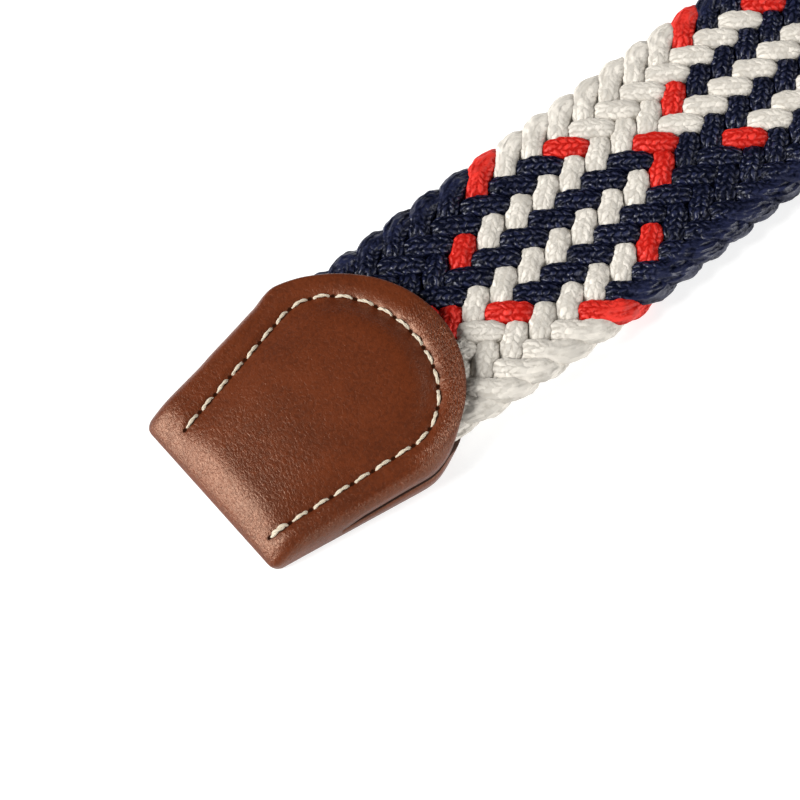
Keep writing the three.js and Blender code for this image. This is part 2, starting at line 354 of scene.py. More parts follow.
@dataclass(frozen=True)
class BraidedYarnCover(Finish):
    """Polyester yarn braided round an elastic core.

    It gives the eye rows of slanting, slightly shiny grains in a herringbone, with painted shade
    for the seams between the grains, and long folds where the cord turns at the band's edge.
    """

    name: str
    yarn: str
    # The seam colour is painted shade: a dark matte colour for the crevices between the grains.
    seam_shade: str
    depth: float  # of the seams, in millimetres
    gleam: float
    shine: float
    plump: float
    crumple: float
    # Over this range of a grain's relief the painted seam shade gives way to the yarn.
    seam_shade_between: tuple[float, float]
    bloom: float = 0.0
    unevenness: float = 0.45
    fray: float = 1.1
    astray: float = 0.8
    slimness: float = 1.9
    # A grain climbs this many pitches across its row.
    climb: float = 0.72
    flat_top: float = 0.1  # of a grain, as a share of its half length
    strands: float = 7.0  # of fibre side by side in a grain
    fibre_height: float = 0.25  # as a share of a grain's
    # The darkest grain has this share of the yarn's colour, the lightest this much more.
    darkest: float = 0.8
    tone_spread: float = 0.3
    lumps: float = 1100.0
    fuzz: float = 2600.0
    # The cover is drawn tight between these distances from the band's middle.
    tight_between: tuple[float, float] = (12.6, 15.8)
    tightness: float = 0.8
    fold_run: float = 0.25  # of a lump in each millimetre along the cord
    fold_contrast: float = 2.4
    fold_drop: float = 0.65

    def surface(self, tree: NodeTree) -> Node:
        """Make the herringbone from the UV map that runs along and round each cord.

        Args:
            tree: The material's node tree.

        Returns:
            The shader node that ends them.
        """
        add = partial(add_node, tree)
        split = add("SeparateXYZ", {"Vector": add("UVMap", uv_map="cord")}).outputs
        along, around = split["X"], split["Y"]
        place = add("NewGeometry").outputs["Position"]
        # No two grains are laid alike: each wanders by up to half a millimetre.
        drift = add("TexNoise", {"Vector": place, "Scale": self.lumps, "Detail": 1.0})
        drift = add("SeparateXYZ", {"Vector": drift.outputs["Color"]}).outputs
        wander = add("Math", {0: drift["X"], 1: -0.5}, operation="ADD")
        stray = {0: drift["Y"], 1: self.astray, 2: -0.5 - self.astray / 2.0}
        stray = add("Math", stray, operation="MULTIPLY_ADD")
        row = add("Math", {0: around}, operation="FLOOR")
        in_row = add("Math", {0: around}, operation="FRACT")
        centred = add("Math", {0: in_row, 1: stray}, operation="ADD")
        # Odd rows slant the other way and lie half a grain further on.
        odd = add("Math", {0: row, 1: 2.0}, operation="FLOORED_MODULO")
        side = add("Math", {0: odd, 1: -2.0, 2: 1.0}, operation="MULTIPLY_ADD")
        slant = add("Math", {0: centred, 1: self.climb}, operation="MULTIPLY")
        # The phase counts the grains along a row, whole numbers lying at their middles.
        phase = add("Math", {0: along, 1: GRAIN_PITCH}, operation="DIVIDE")
        phase = add("Math", {0: slant, 1: side, 2: phase}, operation="MULTIPLY_ADD")
        phase = add("Math", {0: odd, 1: 0.5, 2: phase}, operation="MULTIPLY_ADD")
        phase = add("Math", {0: phase, 1: wander}, operation="ADD")
        moved = add("Math", {0: phase, 1: 0.5}, operation="ADD")
        number = add("Math", {0: moved}, operation="FLOOR")
        local = add("Math", {0: moved}, operation="FRACT")
        local = add("Math", {0: local, 1: 2.0, 2: -1.0}, operation="MULTIPLY_ADD")
        sideways = add("Math", {0: centred, 1: self.slimness}, operation="MULTIPLY")
        spot = add("CombineXYZ", {"X": local, "Y": sideways})
        reach = add("VectorMath", {0: spot}, operation="LENGTH").outputs["Value"]
        dome = {"Value": reach, "From Min": self.plump, "From Max": self.flat_top}
        dome = add("MapRange", dome, interpolation_type="SMOOTHSTEP")
        grain_id = add("CombineXYZ", {"X": number, "Y": row})
        chance = add("TexWhiteNoise", {"Vector": grain_id}, noise_dimensions="3D")
        size = {0: chance, 1: self.unevenness, 2: 1.0 - self.unevenness}
        size = add("Math", size, operation="MULTIPLY_ADD")
        relief = add("Math", {0: dome, 1: size}, operation="MULTIPLY")
        tight = self.tight_share(tree, place)
        folds = self.folds(tree, along, around)
        relief = add("Mix", {0: tight, 2: relief, 3: folds})
        # Filaments are 0.02 mm thick, too fine to show, so they are drawn at about 0.15 mm.
        stretched = add("Math", {0: phase, 1: self.strands}, operation="MULTIPLY")
        strand = add("CombineXYZ", {"X": stretched, "Y": in_row, "Z": row})
        fibres = add("TexNoise", {"Vector": strand, "Scale": 1.0, "Detail": 2.0, "Roughness": 0.6})
        crumple = {"Vector": place, "Scale": self.lumps, "Detail": 2.0, "Roughness": 0.5}
        crumple = add("TexNoise", crumple)
        height = add("Math", {0: fibres, 1: self.fibre_height, 2: relief}, operation="MULTIPLY_ADD")
        height = add("Math", {0: crumple, 1: self.crumple, 2: height}, operation="MULTIPLY_ADD")
        calm = {0: folds, 1: self.fold_contrast, 2: -self.fold_contrast / 4.0}
        calm = add("Math", calm, operation="MULTIPLY_ADD")
        height = add("Mix", {0: tight, 2: height, 3: calm})
        bump = add("Bump", {"Height": height, "Distance": self.depth * METRES, "Strength": 1.0})
        tone = {0: chance, 1: self.tone_spread, 2: self.darkest}
        tone = add("Math", tone, operation="MULTIPLY_ADD")
        toned = {0: 1.0, 6: linear_colour(self.yarn), 7: add("CombineColor", {0: tone, 1: tone, 2: tone})}
        toned = add("Mix", toned, data_type="RGBA", blend_type="MULTIPLY")
        grain = {
            "Base Color": toned.outputs[2],
            "Roughness": self.gleam,
            "IOR": 1.5,
            "Normal": bump,
            "Sheen Weight": self.bloom,
            "Sheen Roughness": 0.4,
            "Specular IOR Level": self.shine,
        }
        grain = add("BsdfPrincipled", grain)
        # Painted shade: the seams between the grains take a dark matte colour that stands for the shade
        # falling in them.
        seam_shade = {"Color": linear_colour(self.seam_shade), "Roughness": 1.0, "Normal": bump}
        seam_shade = add("BsdfDiffuse", seam_shade)
        # Frayed fibres blur where a grain ends.
        fuzz = add("TexNoise", {"Vector": place, "Scale": self.fuzz, "Detail": 2.0, "Roughness": 0.6})
        fuzz = add("Math", {0: fuzz, 1: self.fray, 2: -0.5 * self.fray}, operation="MULTIPLY_ADD")
        blurred = add("Math", {0: relief, 1: fuzz}, operation="ADD")
        share = {"Value": blurred, "From Min": self.seam_shade_between[0], "From Max": self.seam_shade_between[1]}
        share = add("MapRange", share, interpolation_type="SMOOTHSTEP")
        return add("MixShader", {0: share, 1: seam_shade, 2: grain})

    def tight_share(self, tree: NodeTree, place: Socket) -> Node:
        """Tell how tight the cover is drawn, from 0 amid the band to most at its edges.

        Args:
            tree: The node tree of the yarn.
            place: The place on the belt, in metres.

        Returns:
            The node with the share.
        """
        y = add_node(tree, "SeparateXYZ", {"Vector": place}).outputs["Y"]
        y = add_node(tree, "Math", {0: y}, operation="ABSOLUTE")
        low, high = (distance * METRES for distance in self.tight_between)
        share = {"Value": y, "From Min": low, "From Max": high, "To Max": self.tightness}
        return add_node(tree, "MapRange", share, interpolation_type="SMOOTHSTEP")

    def folds(self, tree: NodeTree, along: Socket, around: Socket) -> Node:
        """Make the long folds of a cover that is drawn tight.

        Args:
            tree: The node tree of the yarn.
            along: Millimetres along the cord.
            around: Rows of grains round the cord.

        Returns:
            The node with the folds' height.
        """
        add = partial(add_node, tree)
        turn = add("Math", {0: around, 1: math.tau / YARN_ROWS}, operation="MULTIPLY")
        spot = {
            "X": add("Math", {0: along, 1: self.fold_run}, operation="MULTIPLY"),
            "Y": add("Math", {0: turn}, operation="COSINE"),
            "Z": add("Math", {0: turn}, operation="SINE"),
        }
        noise = add("TexNoise", {"Vector": add("CombineXYZ", spot), "Scale": 2.0, "Detail": 1.0})
        height = {0: noise, 1: self.fold_contrast, 2: -self.fold_drop}
        return add("Math", height, operation="MULTIPLY_ADD")


@dataclass(frozen=True)
class SmoothCalfLeather(Finish):
    """Vegetable-tanned calf leather, dyed chestnut and polished.

    It gives the eye a satin skin whose fine creases stand out where it is folded, a cloudy
    dye, wrinkles where the rim bends over the band, and needle holes drawn as painted shade.
    """

    name: str = "chestnut_calf_leather_polished"
    dye: str = "#5a260e"
    deep_dye: str = "#451a07"
    # Painted shade: the needle holes are a dark matte patch standing for the shade inside each slit.
    hole_shade: str = "#2a140a"
    polish: float = 0.37
    shine: float = 0.62
    gleam: str = "#ffd2b4"
    crease_depth: float = 0.09
    crease_size: Triple = (0.32, 0.66, 0.32)
    crease_turn: float = -14.0
    # Pores lie about 0.1 mm apart in calf skin, too fine to show, and are drawn 0.5 mm apart.
    pores: float = 1900.0
    clouds: float = 95.0
    clouded_between: tuple[float, float] = (0.75, 1.35)
    pore_height: float = 0.9  # as a share of a crease's
    pooling: float = 1.1  # of the dye in the pores
    # The skin is stretched flat further than this from the fold, and creased nearer than this.
    flat_beyond: float = 22.0
    creased_within: float = 3.0
    flat_crease: float = 0.2  # of a crease's height
    # The wrinkles lie on the rim about ten stitches from the first one.
    wrinkled_at: tuple[float, float] = (10.3, 2.7)
    wrinkle_reach: tuple[float, float] = (4.4, 2.4)
    wrinkle_size: Triple = (0.62, 0.2, 0.62)
    wrinkle_turn: float = 50.0
    wrinkle_rise: float = 5.5
    wrinkle_core: float = 0.3  # of their reach, where they are full
    stitch: float = 3.1
    hole_shade_half: tuple[float, float] = (0.36, 0.3)
    hole_shade_blur: tuple[float, float] = (1.3, 0.6)  # of its half size

    def surface(self, tree: NodeTree) -> Node:
        """Make the creases, the cloudy dye, the wrinkles of the bend and the painted shade of the needle
        holes.

        Args:
            tree: The material's node tree.

        Returns:
            The shader node that ends them.
        """
        add = partial(add_node, tree)
        place = add("NewGeometry").outputs["Position"]
        split = add("SeparateXYZ", {"Vector": add("UVMap", uv_map="stitch")}).outputs
        along, off = split["X"], split["Y"]
        # Skin creases are 0.6 mm apart, and are drawn out nearly along the fold that bends them.
        spot = self.stretched(tree, place, self.crease_size, self.crease_turn)
        creases = {"Vector": spot, "Scale": 1.0, "Detail": 3.0, "Roughness": 0.6, "Distortion": 0.7}
        creases = add("TexNoise", creases)
        pores = {"Vector": place, "Scale": self.pores, "Detail": 3.0, "Roughness": 0.65, "Distortion": 0.5}
        pores = add("TexNoise", pores)
        # The creases are stretched flat over the middle and stand out where the leather folds.
        from_middle = add("Math", {0: add("SeparateXYZ", {"Vector": place})}, operation="ABSOLUTE")
        folded = {
            "Value": from_middle,
            "From Min": (BELT_END - self.flat_beyond) * METRES,
            "From Max": (BELT_END - self.creased_within) * METRES,
            "To Min": self.flat_crease,
        }
        folded = add("MapRange", folded, interpolation_type="SMOOTHSTEP")
        grain = add("Math", {0: creases, 1: folded}, operation="MULTIPLY")
        skin = add("Math", {0: pores, 1: self.pore_height, 2: grain}, operation="MULTIPLY_ADD")
        skin = add("Math", {0: skin, 1: self.wrinkles(tree, place, along, off)}, operation="ADD")
        bump = add("Bump", {"Height": skin, "Distance": self.crease_depth * METRES, "Strength": 1.0})
        # The dye is cloudy, and a little of it gathers in the pores.
        clouds = add("TexNoise", {"Vector": place, "Scale": self.clouds, "Detail": 3.0, "Roughness": 0.55})
        clouds = add("Math", {0: pores, 1: self.pooling, 2: clouds}, operation="MULTIPLY_ADD")
        low, high = self.clouded_between
        clouds = {"Value": clouds, "From Min": low, "From Max": high}
        clouds = add("MapRange", clouds, interpolation_type="SMOOTHSTEP")
        dyed = {0: clouds, 6: linear_colour(self.deep_dye), 7: linear_colour(self.dye)}
        dyed = add("Mix", dyed, data_type="RGBA")
        leather = {
            "Base Color": dyed.outputs[2],
            "Roughness": self.polish,
            "IOR": 1.5,
            "Normal": bump,
            "Specular IOR Level": self.shine,
            "Specular Tint": linear_colour(self.gleam),
        }
        leather = add("BsdfPrincipled", leather)
        # The needle holes are painted shade, a dark matte colour mixed in where each slit lies.
        hole_shade_surface = add("BsdfDiffuse", {"Color": linear_colour(self.hole_shade), "Roughness": 1.0})
        return add("MixShader", {0: self.needle_hole_shade(tree, along, off), 1: leather, 2: hole_shade_surface})

    def stretched(self, tree: NodeTree, place: Socket, size: Triple, turn: float) -> Node:
        """Turn a place about the vertical and measure it in lumps of a size.

        Args:
            tree: The node tree of the leather.
            place: The place on the belt, in metres.
            size: A lump's size in millimetres.
            turn: Its turn in degrees.

        Returns:
            The node with the measured place.
        """
        spot = {
            "Vector": place,
            "Rotation": (0.0, 0.0, math.radians(turn)),
            "Scale": tuple(length * METRES for length in size),
        }
        return add_node(tree, "Mapping", spot, vector_type="TEXTURE")

    def wrinkles(self, tree: NodeTree, place: Socket, along: Socket, off: Socket) -> Node:
        """Make the fine wrinkles where the rim bends over the band at the round end.

        Args:
            tree: The node tree of the leather.
            place: The place on the belt, in metres.
            along: Stitches along the stitch line.
            off: Millimetres off the line.

        Returns:
            The node with their height.
        """
        add = partial(add_node, tree)
        # The wrinkles lie 0.4 mm apart, slantwise to the belt, and are about 1.2 mm long.
        spot = self.stretched(tree, place, self.wrinkle_size, self.wrinkle_turn)
        height = {"Vector": spot, "Scale": 1.0, "Detail": 2.0, "Roughness": 0.5, "Distortion": 0.3}
        height = add("TexNoise", height)
        rise = self.wrinkle_rise
        for value, middle, reach in zip((along, off), self.wrinkled_at, self.wrinkle_reach):
            gap = add("Math", {0: value, 1: middle}, operation="SUBTRACT")
            gap = add("Math", {0: gap}, operation="ABSOLUTE")
            mask = {"Value": gap, "From Min": reach, "From Max": reach * self.wrinkle_core, "To Max": rise}
            mask = add("MapRange", mask, interpolation_type="SMOOTHSTEP")
            height = add("Math", {0: height, 1: mask}, operation="MULTIPLY")
            rise = 1.0
        return height

    def needle_hole_shade(self, tree: NodeTree, along: Socket, off: Socket) -> Node:
        """Mark the slits that the awl left, one at each whole number of stitches, where painted shade darkens
        the leather.

        Args:
            tree: The node tree of the leather.
            along: Stitches along the stitch line.
            off: Millimetres off the line.

        Returns:
            A node that is 1 in a slit and 0 outside.
        """
        add = partial(add_node, tree)
        near = add("Math", {0: along, 1: 0.5}, operation="PINGPONG")
        run = add("Math", {0: near, 1: self.stitch / self.hole_shade_half[0]}, operation="MULTIPLY")
        rise = add("Math", {0: off, 1: self.hole_shade_half[1]}, operation="DIVIDE")
        spot = add("CombineXYZ", {"X": run, "Y": rise})
        reach = add("VectorMath", {0: spot}, operation="LENGTH").outputs["Value"]
        inside = {"Value": reach, "From Min": self.hole_shade_blur[0], "From Max": self.hole_shade_blur[1]}
        return add("MapRange", inside, interpolation_type="SMOOTHSTEP")


@dataclass(frozen=True)
class CutLeatherEdge(Finish):
    """The cut edge of the leather, dyed dark and rubbed down with wax, and darkened further with painted
    shade that stands for the shade in the slit between the flaps.

    It gives the eye a thin, dull, nearly black brown line with a fibrous surface.
    """

    name: str = "leather_edge_dyed_waxed_and_shade_darkened"
    # Partly painted shade: besides the edge dye, the colour is darkened to stand for the shade in the slit
    # between the flaps.
    dark: str = "#180b05"
    light: str = "#3a2012"
    # Bundles of fibre are 0.1 mm thick, too fine to show, and are drawn 0.4 mm apart.
    fibres: float = 2600.0

    def surface(self, tree: NodeTree) -> Node:
        """Make the fibrous edge.

        Args:
            tree: The material's node tree.

        Returns:
            The shader node that ends them.
        """
        add = partial(add_node, tree)
        fibres = {"Vector": add("NewGeometry"), "Scale": self.fibres, "Detail": 3.0, "Roughness": 0.7}
        fibres = add("TexNoise", fibres)
        colour = {0: fibres, 6: linear_colour(self.dark), 7: linear_colour(self.light)}
        edge = {
            "Base Color": add("Mix", colour, data_type="RGBA").outputs[2],
            "Roughness": 0.7,
            "IOR": 1.5,
            "Normal": add("Bump", {"Height": fibres, "Distance": 0.05 * METRES, "Strength": 0.8}),
            "Specular IOR Level": 0.15,
        }
        return add("BsdfPrincipled", edge)


@dataclass(frozen=True)
class WaxedLinenThread(Finish):
    """Undyed linen thread of two plies, waxed for hand sewing.

    It gives the eye cream plies with a waxy gleam and fine fibres that follow each ply.
    """

    name: str = "undyed_linen_thread_waxed"
    dark: str = "#8b7a62"
    light: str = "#e2d8c2"
    # Lumps in each millimetre along a ply, and once round it.
    fibres: Triple = (2.2, 14.0, 1.0)

    def surface(self, tree: NodeTree) -> Node:
        """Make the fibres along the ply.

        Args:
            tree: The material's node tree.

        Returns:
            The shader node that ends them.
        """
        add = partial(add_node, tree)
        spot = add("Mapping", {"Vector": add("UVMap", uv_map="thread"), "Scale": self.fibres})
        fibres = add("TexNoise", {"Vector": spot, "Scale": 1.0, "Detail": 3.0, "Roughness": 0.65})
        colour = {0: fibres, 6: linear_colour(self.dark), 7: linear_colour(self.light)}
        thread = {
            "Base Color": add("Mix", colour, data_type="RGBA").outputs[2],
            "Roughness": 0.5,
            "IOR": 1.46,
            "Normal": add("Bump", {"Height": fibres, "Distance": 0.05 * METRES, "Strength": 1.0}),
            "Sheen Weight": 0.2,
            "Sheen Roughness": 0.5,
        }
        return add("BsdfPrincipled", thread)


@dataclass(frozen=True)
class BrushedNickelPlate(Finish):
    """Steel plated with nickel and brushed by hand.

    It gives the eye a warm grey metal whose highlights are drawn out by fine brush lines,
    brighter where wear has polished the high places.
    """

    name: str = "nickel_plate_brushed"
    dark: str = "#a49e94"
    light: str = "#c6c1b8"
    # Brush lines are 0.02 mm apart in the real plate and drawn about 0.12 mm apart.
    lines: Triple = (900.0, 8000.0, 8000.0)
    wear: float = 160.0

    def surface(self, tree: NodeTree) -> Node:
        """Make the brush lines and the small differences in polish.

        Args:
            tree: The material's node tree.

        Returns:
            The shader node that ends them.
        """
        add = partial(add_node, tree)
        place = add("NewGeometry").outputs["Position"]
        lines = add("Mapping", {"Vector": place, "Scale": self.lines})
        lines = add("TexNoise", {"Vector": lines, "Scale": 1.0, "Detail": 2.0})
        wear = add("TexNoise", {"Vector": place, "Scale": self.wear, "Detail": 3.0})
        rough = {"Value": wear, "From Min": 0.3, "From Max": 0.7, "To Min": 0.2, "To Max": 0.34}
        colour = {0: wear, 6: linear_colour(self.dark), 7: linear_colour(self.light)}
        metal = {
            "Base Color": add("Mix", colour, data_type="RGBA").outputs[2],
            "Metallic": 1.0,
            "Roughness": add("MapRange", rough),
            "Normal": add("Bump", {"Height": lines, "Distance": 0.01 * METRES, "Strength": 0.6}),
        }
        return add("BsdfPrincipled", metal)


@dataclass(frozen=True)
class LitPaperFloor(Finish):
    """Matte white paper on a light table.

    It gives the eye an even white with only a faint shadow round what lies on it.
    """

    name: str = "white_paper_on_light_table"
    dark: str = "#bcbcbb"
    light: str = "#c4c4c3"
    glow: float = 0.66
    # Paper fibres are far too fine to show, and are drawn as clouds 3 mm wide.
    fibres: float = 300.0

    def surface(self, tree: NodeTree) -> Node:
        """Make the paper's faint fibres.

        Args:
            tree: The material's node tree.

        Returns:
            The shader node that ends them.
        """
        add = partial(add_node, tree)
        fibres = add("TexNoise", {"Vector": add("NewGeometry"), "Scale": self.fibres, "Detail": 2.0})
        colour = {0: fibres, 6: linear_colour(self.dark), 7: linear_colour(self.light)}
        paper = {
            "Base Color": add("Mix", colour, data_type="RGBA").outputs[2],
            "Roughness": 0.9,
            "Specular IOR Level": 0.1,
            "Emission Color": linear_colour("#ffffff"),
            "Emission Strength": self.glow,
        }
        return add("BsdfPrincipled", paper)


class CordColour(Enum):
    """The colours of the covered cords, each with its slot and its finish."""

    NAVY = "navy"
    WHITE = "white"
    RED = "red"

    @property
    def slot(self) -> str:
        """The record's material slot."""
        return f"{self.value}_cord"

    def finish(self) -> BraidedYarnCover:
        """Give the cover in this colour: dark yarn gleams, and light yarn is duller and fuller.

        Returns:
            The finish of the cords of this colour.
        """
        # Each seam colour is the painted shade between that colour's grains.
        looks = {
            CordColour.NAVY: dict(
                yarn="#161b37", seam_shade="#040610", depth=0.2, gleam=0.4, shine=0.52,
                plump=1.05, crumple=0.6, seam_shade_between=(-0.2, 0.8),
            ),
            CordColour.RED: dict(
                yarn="#cf2e24", seam_shade="#a61711", depth=0.15, gleam=0.55, shine=0.3,
                plump=1.1, crumple=0.8, seam_shade_between=(-0.1, 0.6),
            ),
            CordColour.WHITE: dict(
                yarn="#cac4ba", seam_shade="#b8b2a8", depth=0.12, gleam=0.62, shine=0.25,
                plump=1.5, crumple=1.7, seam_shade_between=(0.0, 0.5), bloom=0.05,
            ),
        }
        return BraidedYarnCover(f"polyester_yarn_cover_{self.value}_braided", **looks[self])


# The plaited band


@dataclass
class PlaitedBand:
    """The flat band: seventeen cords in one layer of plait, over two and under two.

    A step is the distance along the belt between two turns at one edge. A cord crosses the
    whole band in as many half steps as there are cords, and is back at the same edge after
    twice as many.
    """

    cords: int = 17
    step: float = 5.0
    first_turn: float = -486.7
    half_width: float = 17.0
    turn_softness: float = 0.85  # half steps
    turn_bulge: float = 0.12  # half steps
    bulge_reach: float = 1.5  # half steps from the edge
    # Before it turns, a cord swings back along the belt, which makes its visible end fat.
    swing: float = 0.95
    swing_place: float = -0.8  # half steps after the turn
    swing_width: float = 1.12  # half steps
    turned_width: float = 3.8
    # Half of a dive's length, how early it comes and the place of the one at an edge, in half steps.
    dive_half: float = 0.49
    dive_early: float = 0.03
    edge_dive: float = 0.46
    edge_dive_half: float = 0.95
    pinch_half: float = 0.5  # half steps from a dive's middle
    # The cords that run towards -Y lie a little higher and bulge wider than the others.
    wide_cord: float = 3.8
    slim_cord: float = 3.6
    run_blend: float = 0.8  # half steps, at an edge
    cord_thickness: float = 2.65
    turned_thickness: float = 2.7
    lift: float = 0.035
    clearance: float = 0.02
    # A cord that runs towards -Y rises amid each of its runs over two others.
    crown: float = 0.1
    crown_at: float = 3.5  # half steps, the middle of one such run
    crown_from: tuple[float, float] = (0.3, 1.6)  # half steps from the edge
    squareness: float = 2.15
    # Where it dives a cord is this much narrower, and by the pinch more if it runs towards -Y.
    dive_narrowing: float = 0.06
    pinch: float = 0.16
    turned_within: tuple[float, float] = (0.2, 1.8)  # half steps from the edge
    turned_roundness: float = 0.5  # 1 makes a turned cord's section a circle
    start: float = -542.5
    end: float = 509.6
    # The rings are fine where the belt can be seen closely.
    fine_from: float = -524.0
    fine_to: float = -424.0
    knob: float = 0.06
    # Amid its row a knob has a steady part and a wave, and between rows the cover sinks in.
    knob_shape: Triple = (0.3, 0.7, 0.6)
    knob_fade: float = 24.0  # rings over which the knobs rise from nothing
    # A soft cord is never quite even: over each period it swells and shrinks by so much.
    swells: tuple[tuple[float, float], ...] = ((3.7, 0.05), (2.1, 0.045), (1.3, 0.03))
    swell_spread: float = 0.35  # of a period, the most that a swell shifts between points of a ring
    form_half: float = 17.25  # half width of the free band
    # Distance from the fold, half width, underside and top of the band as it enters a tab.
    tip_form: tuple[tuple[float, float, float, float], ...] = (
        (7, 12.2, 1.3, 2.6), (19, 14.8, 1.3, 3.7), (24.5, 16.1, 1.3, 4.3), (30, 15.9, 1.3, 4.8),
        (36.5, 16.25, 1.3, 5.3), (48, 17.0, 0.75, 4.75), (62, 17.25, 0, 4.0),
    )
    # In the round end of the tip tab the band lies this far towards +Y.
    tip_shift: float = 0.5
    tip_shift_over: tuple[tuple[float, float], ...] = ((20.0, 26.0), (30.0, 38.0))
    # Sewing drew the cords of the far edge this far towards the tip.
    tug: float = 1.5
    tug_reach: float = 11.0  # half steps from that edge
    tug_fade: tuple[float, float] = (46.0, 66.0)  # from the fold
    buckle_form: tuple[tuple[float, float, float, float], ...] = (
        (10, 12.6, 1.3, 4.9), (19, 14.8, 1.3, 4.9), (24.5, 17.25, 1.3, 4.95),
        (36.5, 17.25, 1.3, 5.0), (48, 17.25, 0.65, 4.5), (62, 17.25, 0, 4.0),
    )
    buckle_fold: float = 519.65

    def colour_of(self, number: int) -> CordColour:
        """Tell the colour of a cord.

        Args:
            number: The cord's number across the band.

        Returns:
            Its colour.
        """
        if number in (0, 8):
            return CordColour.RED
        return CordColour.WHITE if number < 8 else CordColour.NAVY

    def form(self, x: Array) -> tuple[Array, Array, Array]:
        """Give the band's form along the belt.

        Args:
            x: Places along the belt.

        Returns:
            Width as a share of the free band's, and the heights of underside and top.
        """
        made = []
        for rows, distance in ((self.tip_form, x + BELT_END), (self.buckle_form, self.buckle_fold - x)):
            table = np.array(rows)
            made.append([np.interp(distance, table[:, 0], table[:, i]) for i in (1, 2, 3)])
        width, low, high = (np.where(x < 0, tip, buckle) for tip, buckle in zip(*made))
        return width / self.form_half, low, high

    def to_edge(self, turn: Array) -> Array:
        """Give the half steps between a cord and the nearer of its two turns."""
        phase = np.mod(turn, self.cords)
        return np.minimum(phase, self.cords - phase)

    def down_share(self, turn: Array) -> Array:
        """Tell which way a cord runs.

        Args:
            turn: Half steps since its first turn at the +Y edge.

        Returns:
            1 where it runs towards -Y and 0 where it runs towards +Y.
        """
        phase = np.mod(turn, 2.0 * self.cords)
        edges = (0.0, self.cords, 2.0 * self.cords)
        rises = [smooth_step(phase, edge - self.run_blend, edge + self.run_blend) for edge in edges]
        return rises[0] - rises[1] + rises[2]

    def levels(self, turn: Array) -> tuple[Array, Array]:
        """Give a cord's height in the plait and how far it is through a dive.

        Args:
            turn: Half steps since the cord last turned at the +Y edge.

        Returns:
            The height from -1, under, to 1, over, and a number that is 1 amid a dive.
        """
        phase = np.mod(turn, self.cords)
        down = self.down_share(turn)
        # A cord dives just after its turn at an edge, and then every second half step.
        early = self.dive_early * (2.0 * down - 1.0)
        height = np.ones_like(phase)
        dive = np.zeros_like(phase)
        sign = -1.0
        edges = (self.edge_dive, self.cords + self.edge_dive)
        for place in [edges[0]] + [2.5 + 2.0 * i for i in range(7)] + [edges[1]]:
            at_edge = place in edges
            half = self.edge_dive_half if at_edge else self.dive_half
            moved = place if at_edge else place - early * sign
            height = height + 2.0 * sign * smooth_step(phase - moved, -half, half)
            if not at_edge:
                dive = np.maximum(dive, bell(phase, moved, self.pinch_half))
            sign = -sign
        inside = smooth_step(self.to_edge(turn), *self.crown_from)
        crown = self.crown * down * np.cos(np.pi * (phase - self.crown_at) / 2.0) * inside
        return height + crown + self.lift * (2.0 * down - 1.0), dive

    def middle_line(self, number: int, turn: Array) -> Array:
        """Give the points that a cord's middle follows.

        Args:
            number: The cord's number across the band.
            turn: Half steps since its first turn at the +Y edge.

        Returns:
            One row of x, y and z for each entry.
        """
        half = self.cords / 2.0
        x = self.first_turn + self.step * (number + turn / 2.0)
        phase = np.mod(turn, 2.0 * self.cords)
        near = np.minimum(phase, 2.0 * self.cords - phase)
        reach = self.to_edge(turn)
        soft = np.sqrt(reach**2 + self.turn_softness**2)
        excess = math.hypot(half, self.turn_softness) - half
        soft = soft - excess * reach / half - self.turn_bulge * bell(reach, 0.0, self.bulge_reach)
        across_band = np.where(near < half, soft, self.cords - soft)
        after = reach * np.sign(np.mod(turn + half, self.cords) - half)
        x = x - self.swing * bell(after, self.swing_place, self.swing_width)
        tugged = 1.0 - smooth_step(across_band, 0.0, self.tug_reach)
        x = x - self.tug * tugged * (1.0 - smooth_step(x + BELT_END, *self.tug_fade))
        width, low, high = self.form(x)
        height, _ = self.levels(turn)
        a = x + BELT_END
        begins, ends = (smooth_step(a, *over) for over in self.tip_shift_over)
        shift = self.tip_shift * (begins - ends)
        y = self.half_width * (1.0 - across_band / half) * width + shift
        z = self.clearance + self.lift + (low + high) / 2.0 + height * (high - low) / 4.0
        return stack(x, y, z)

    def rings(self, number: int, turn: Array, sides: int, along: Array, knob: Array) -> Array:
        """Give the cord's cross sections.

        Args:
            number: The cord's number across the band.
            turn: Half steps at each ring.
            sides: Points of a ring.
            along: Length along the cord at each ring.
            knob: How far the yarn's knobs stand proud at each ring.

        Returns:
            Points as rings by sides by three.
        """
        middle = self.middle_line(number, turn)
        side, up = across(unit(self.middle_line(number, turn + 0.01) - self.middle_line(number, turn - 0.01)))
        _, low, high = self.form(middle[:, 0])
        _, dive = self.levels(turn)
        down = self.down_share(turn)
        turned = 1.0 - smooth_step(self.to_edge(turn), *self.turned_within)
        full = self.slim_cord + (self.wide_cord - self.slim_cord) * down
        full = full * (1.0 - turned) + self.turned_width * turned
        wide = full / 2.0 * (1.0 - (self.dive_narrowing + self.pinch * down) * dive)
        thick = self.cord_thickness + (self.turned_thickness - self.cord_thickness) * turned
        thick = thick / 2.0 * (high - low) / 4.0
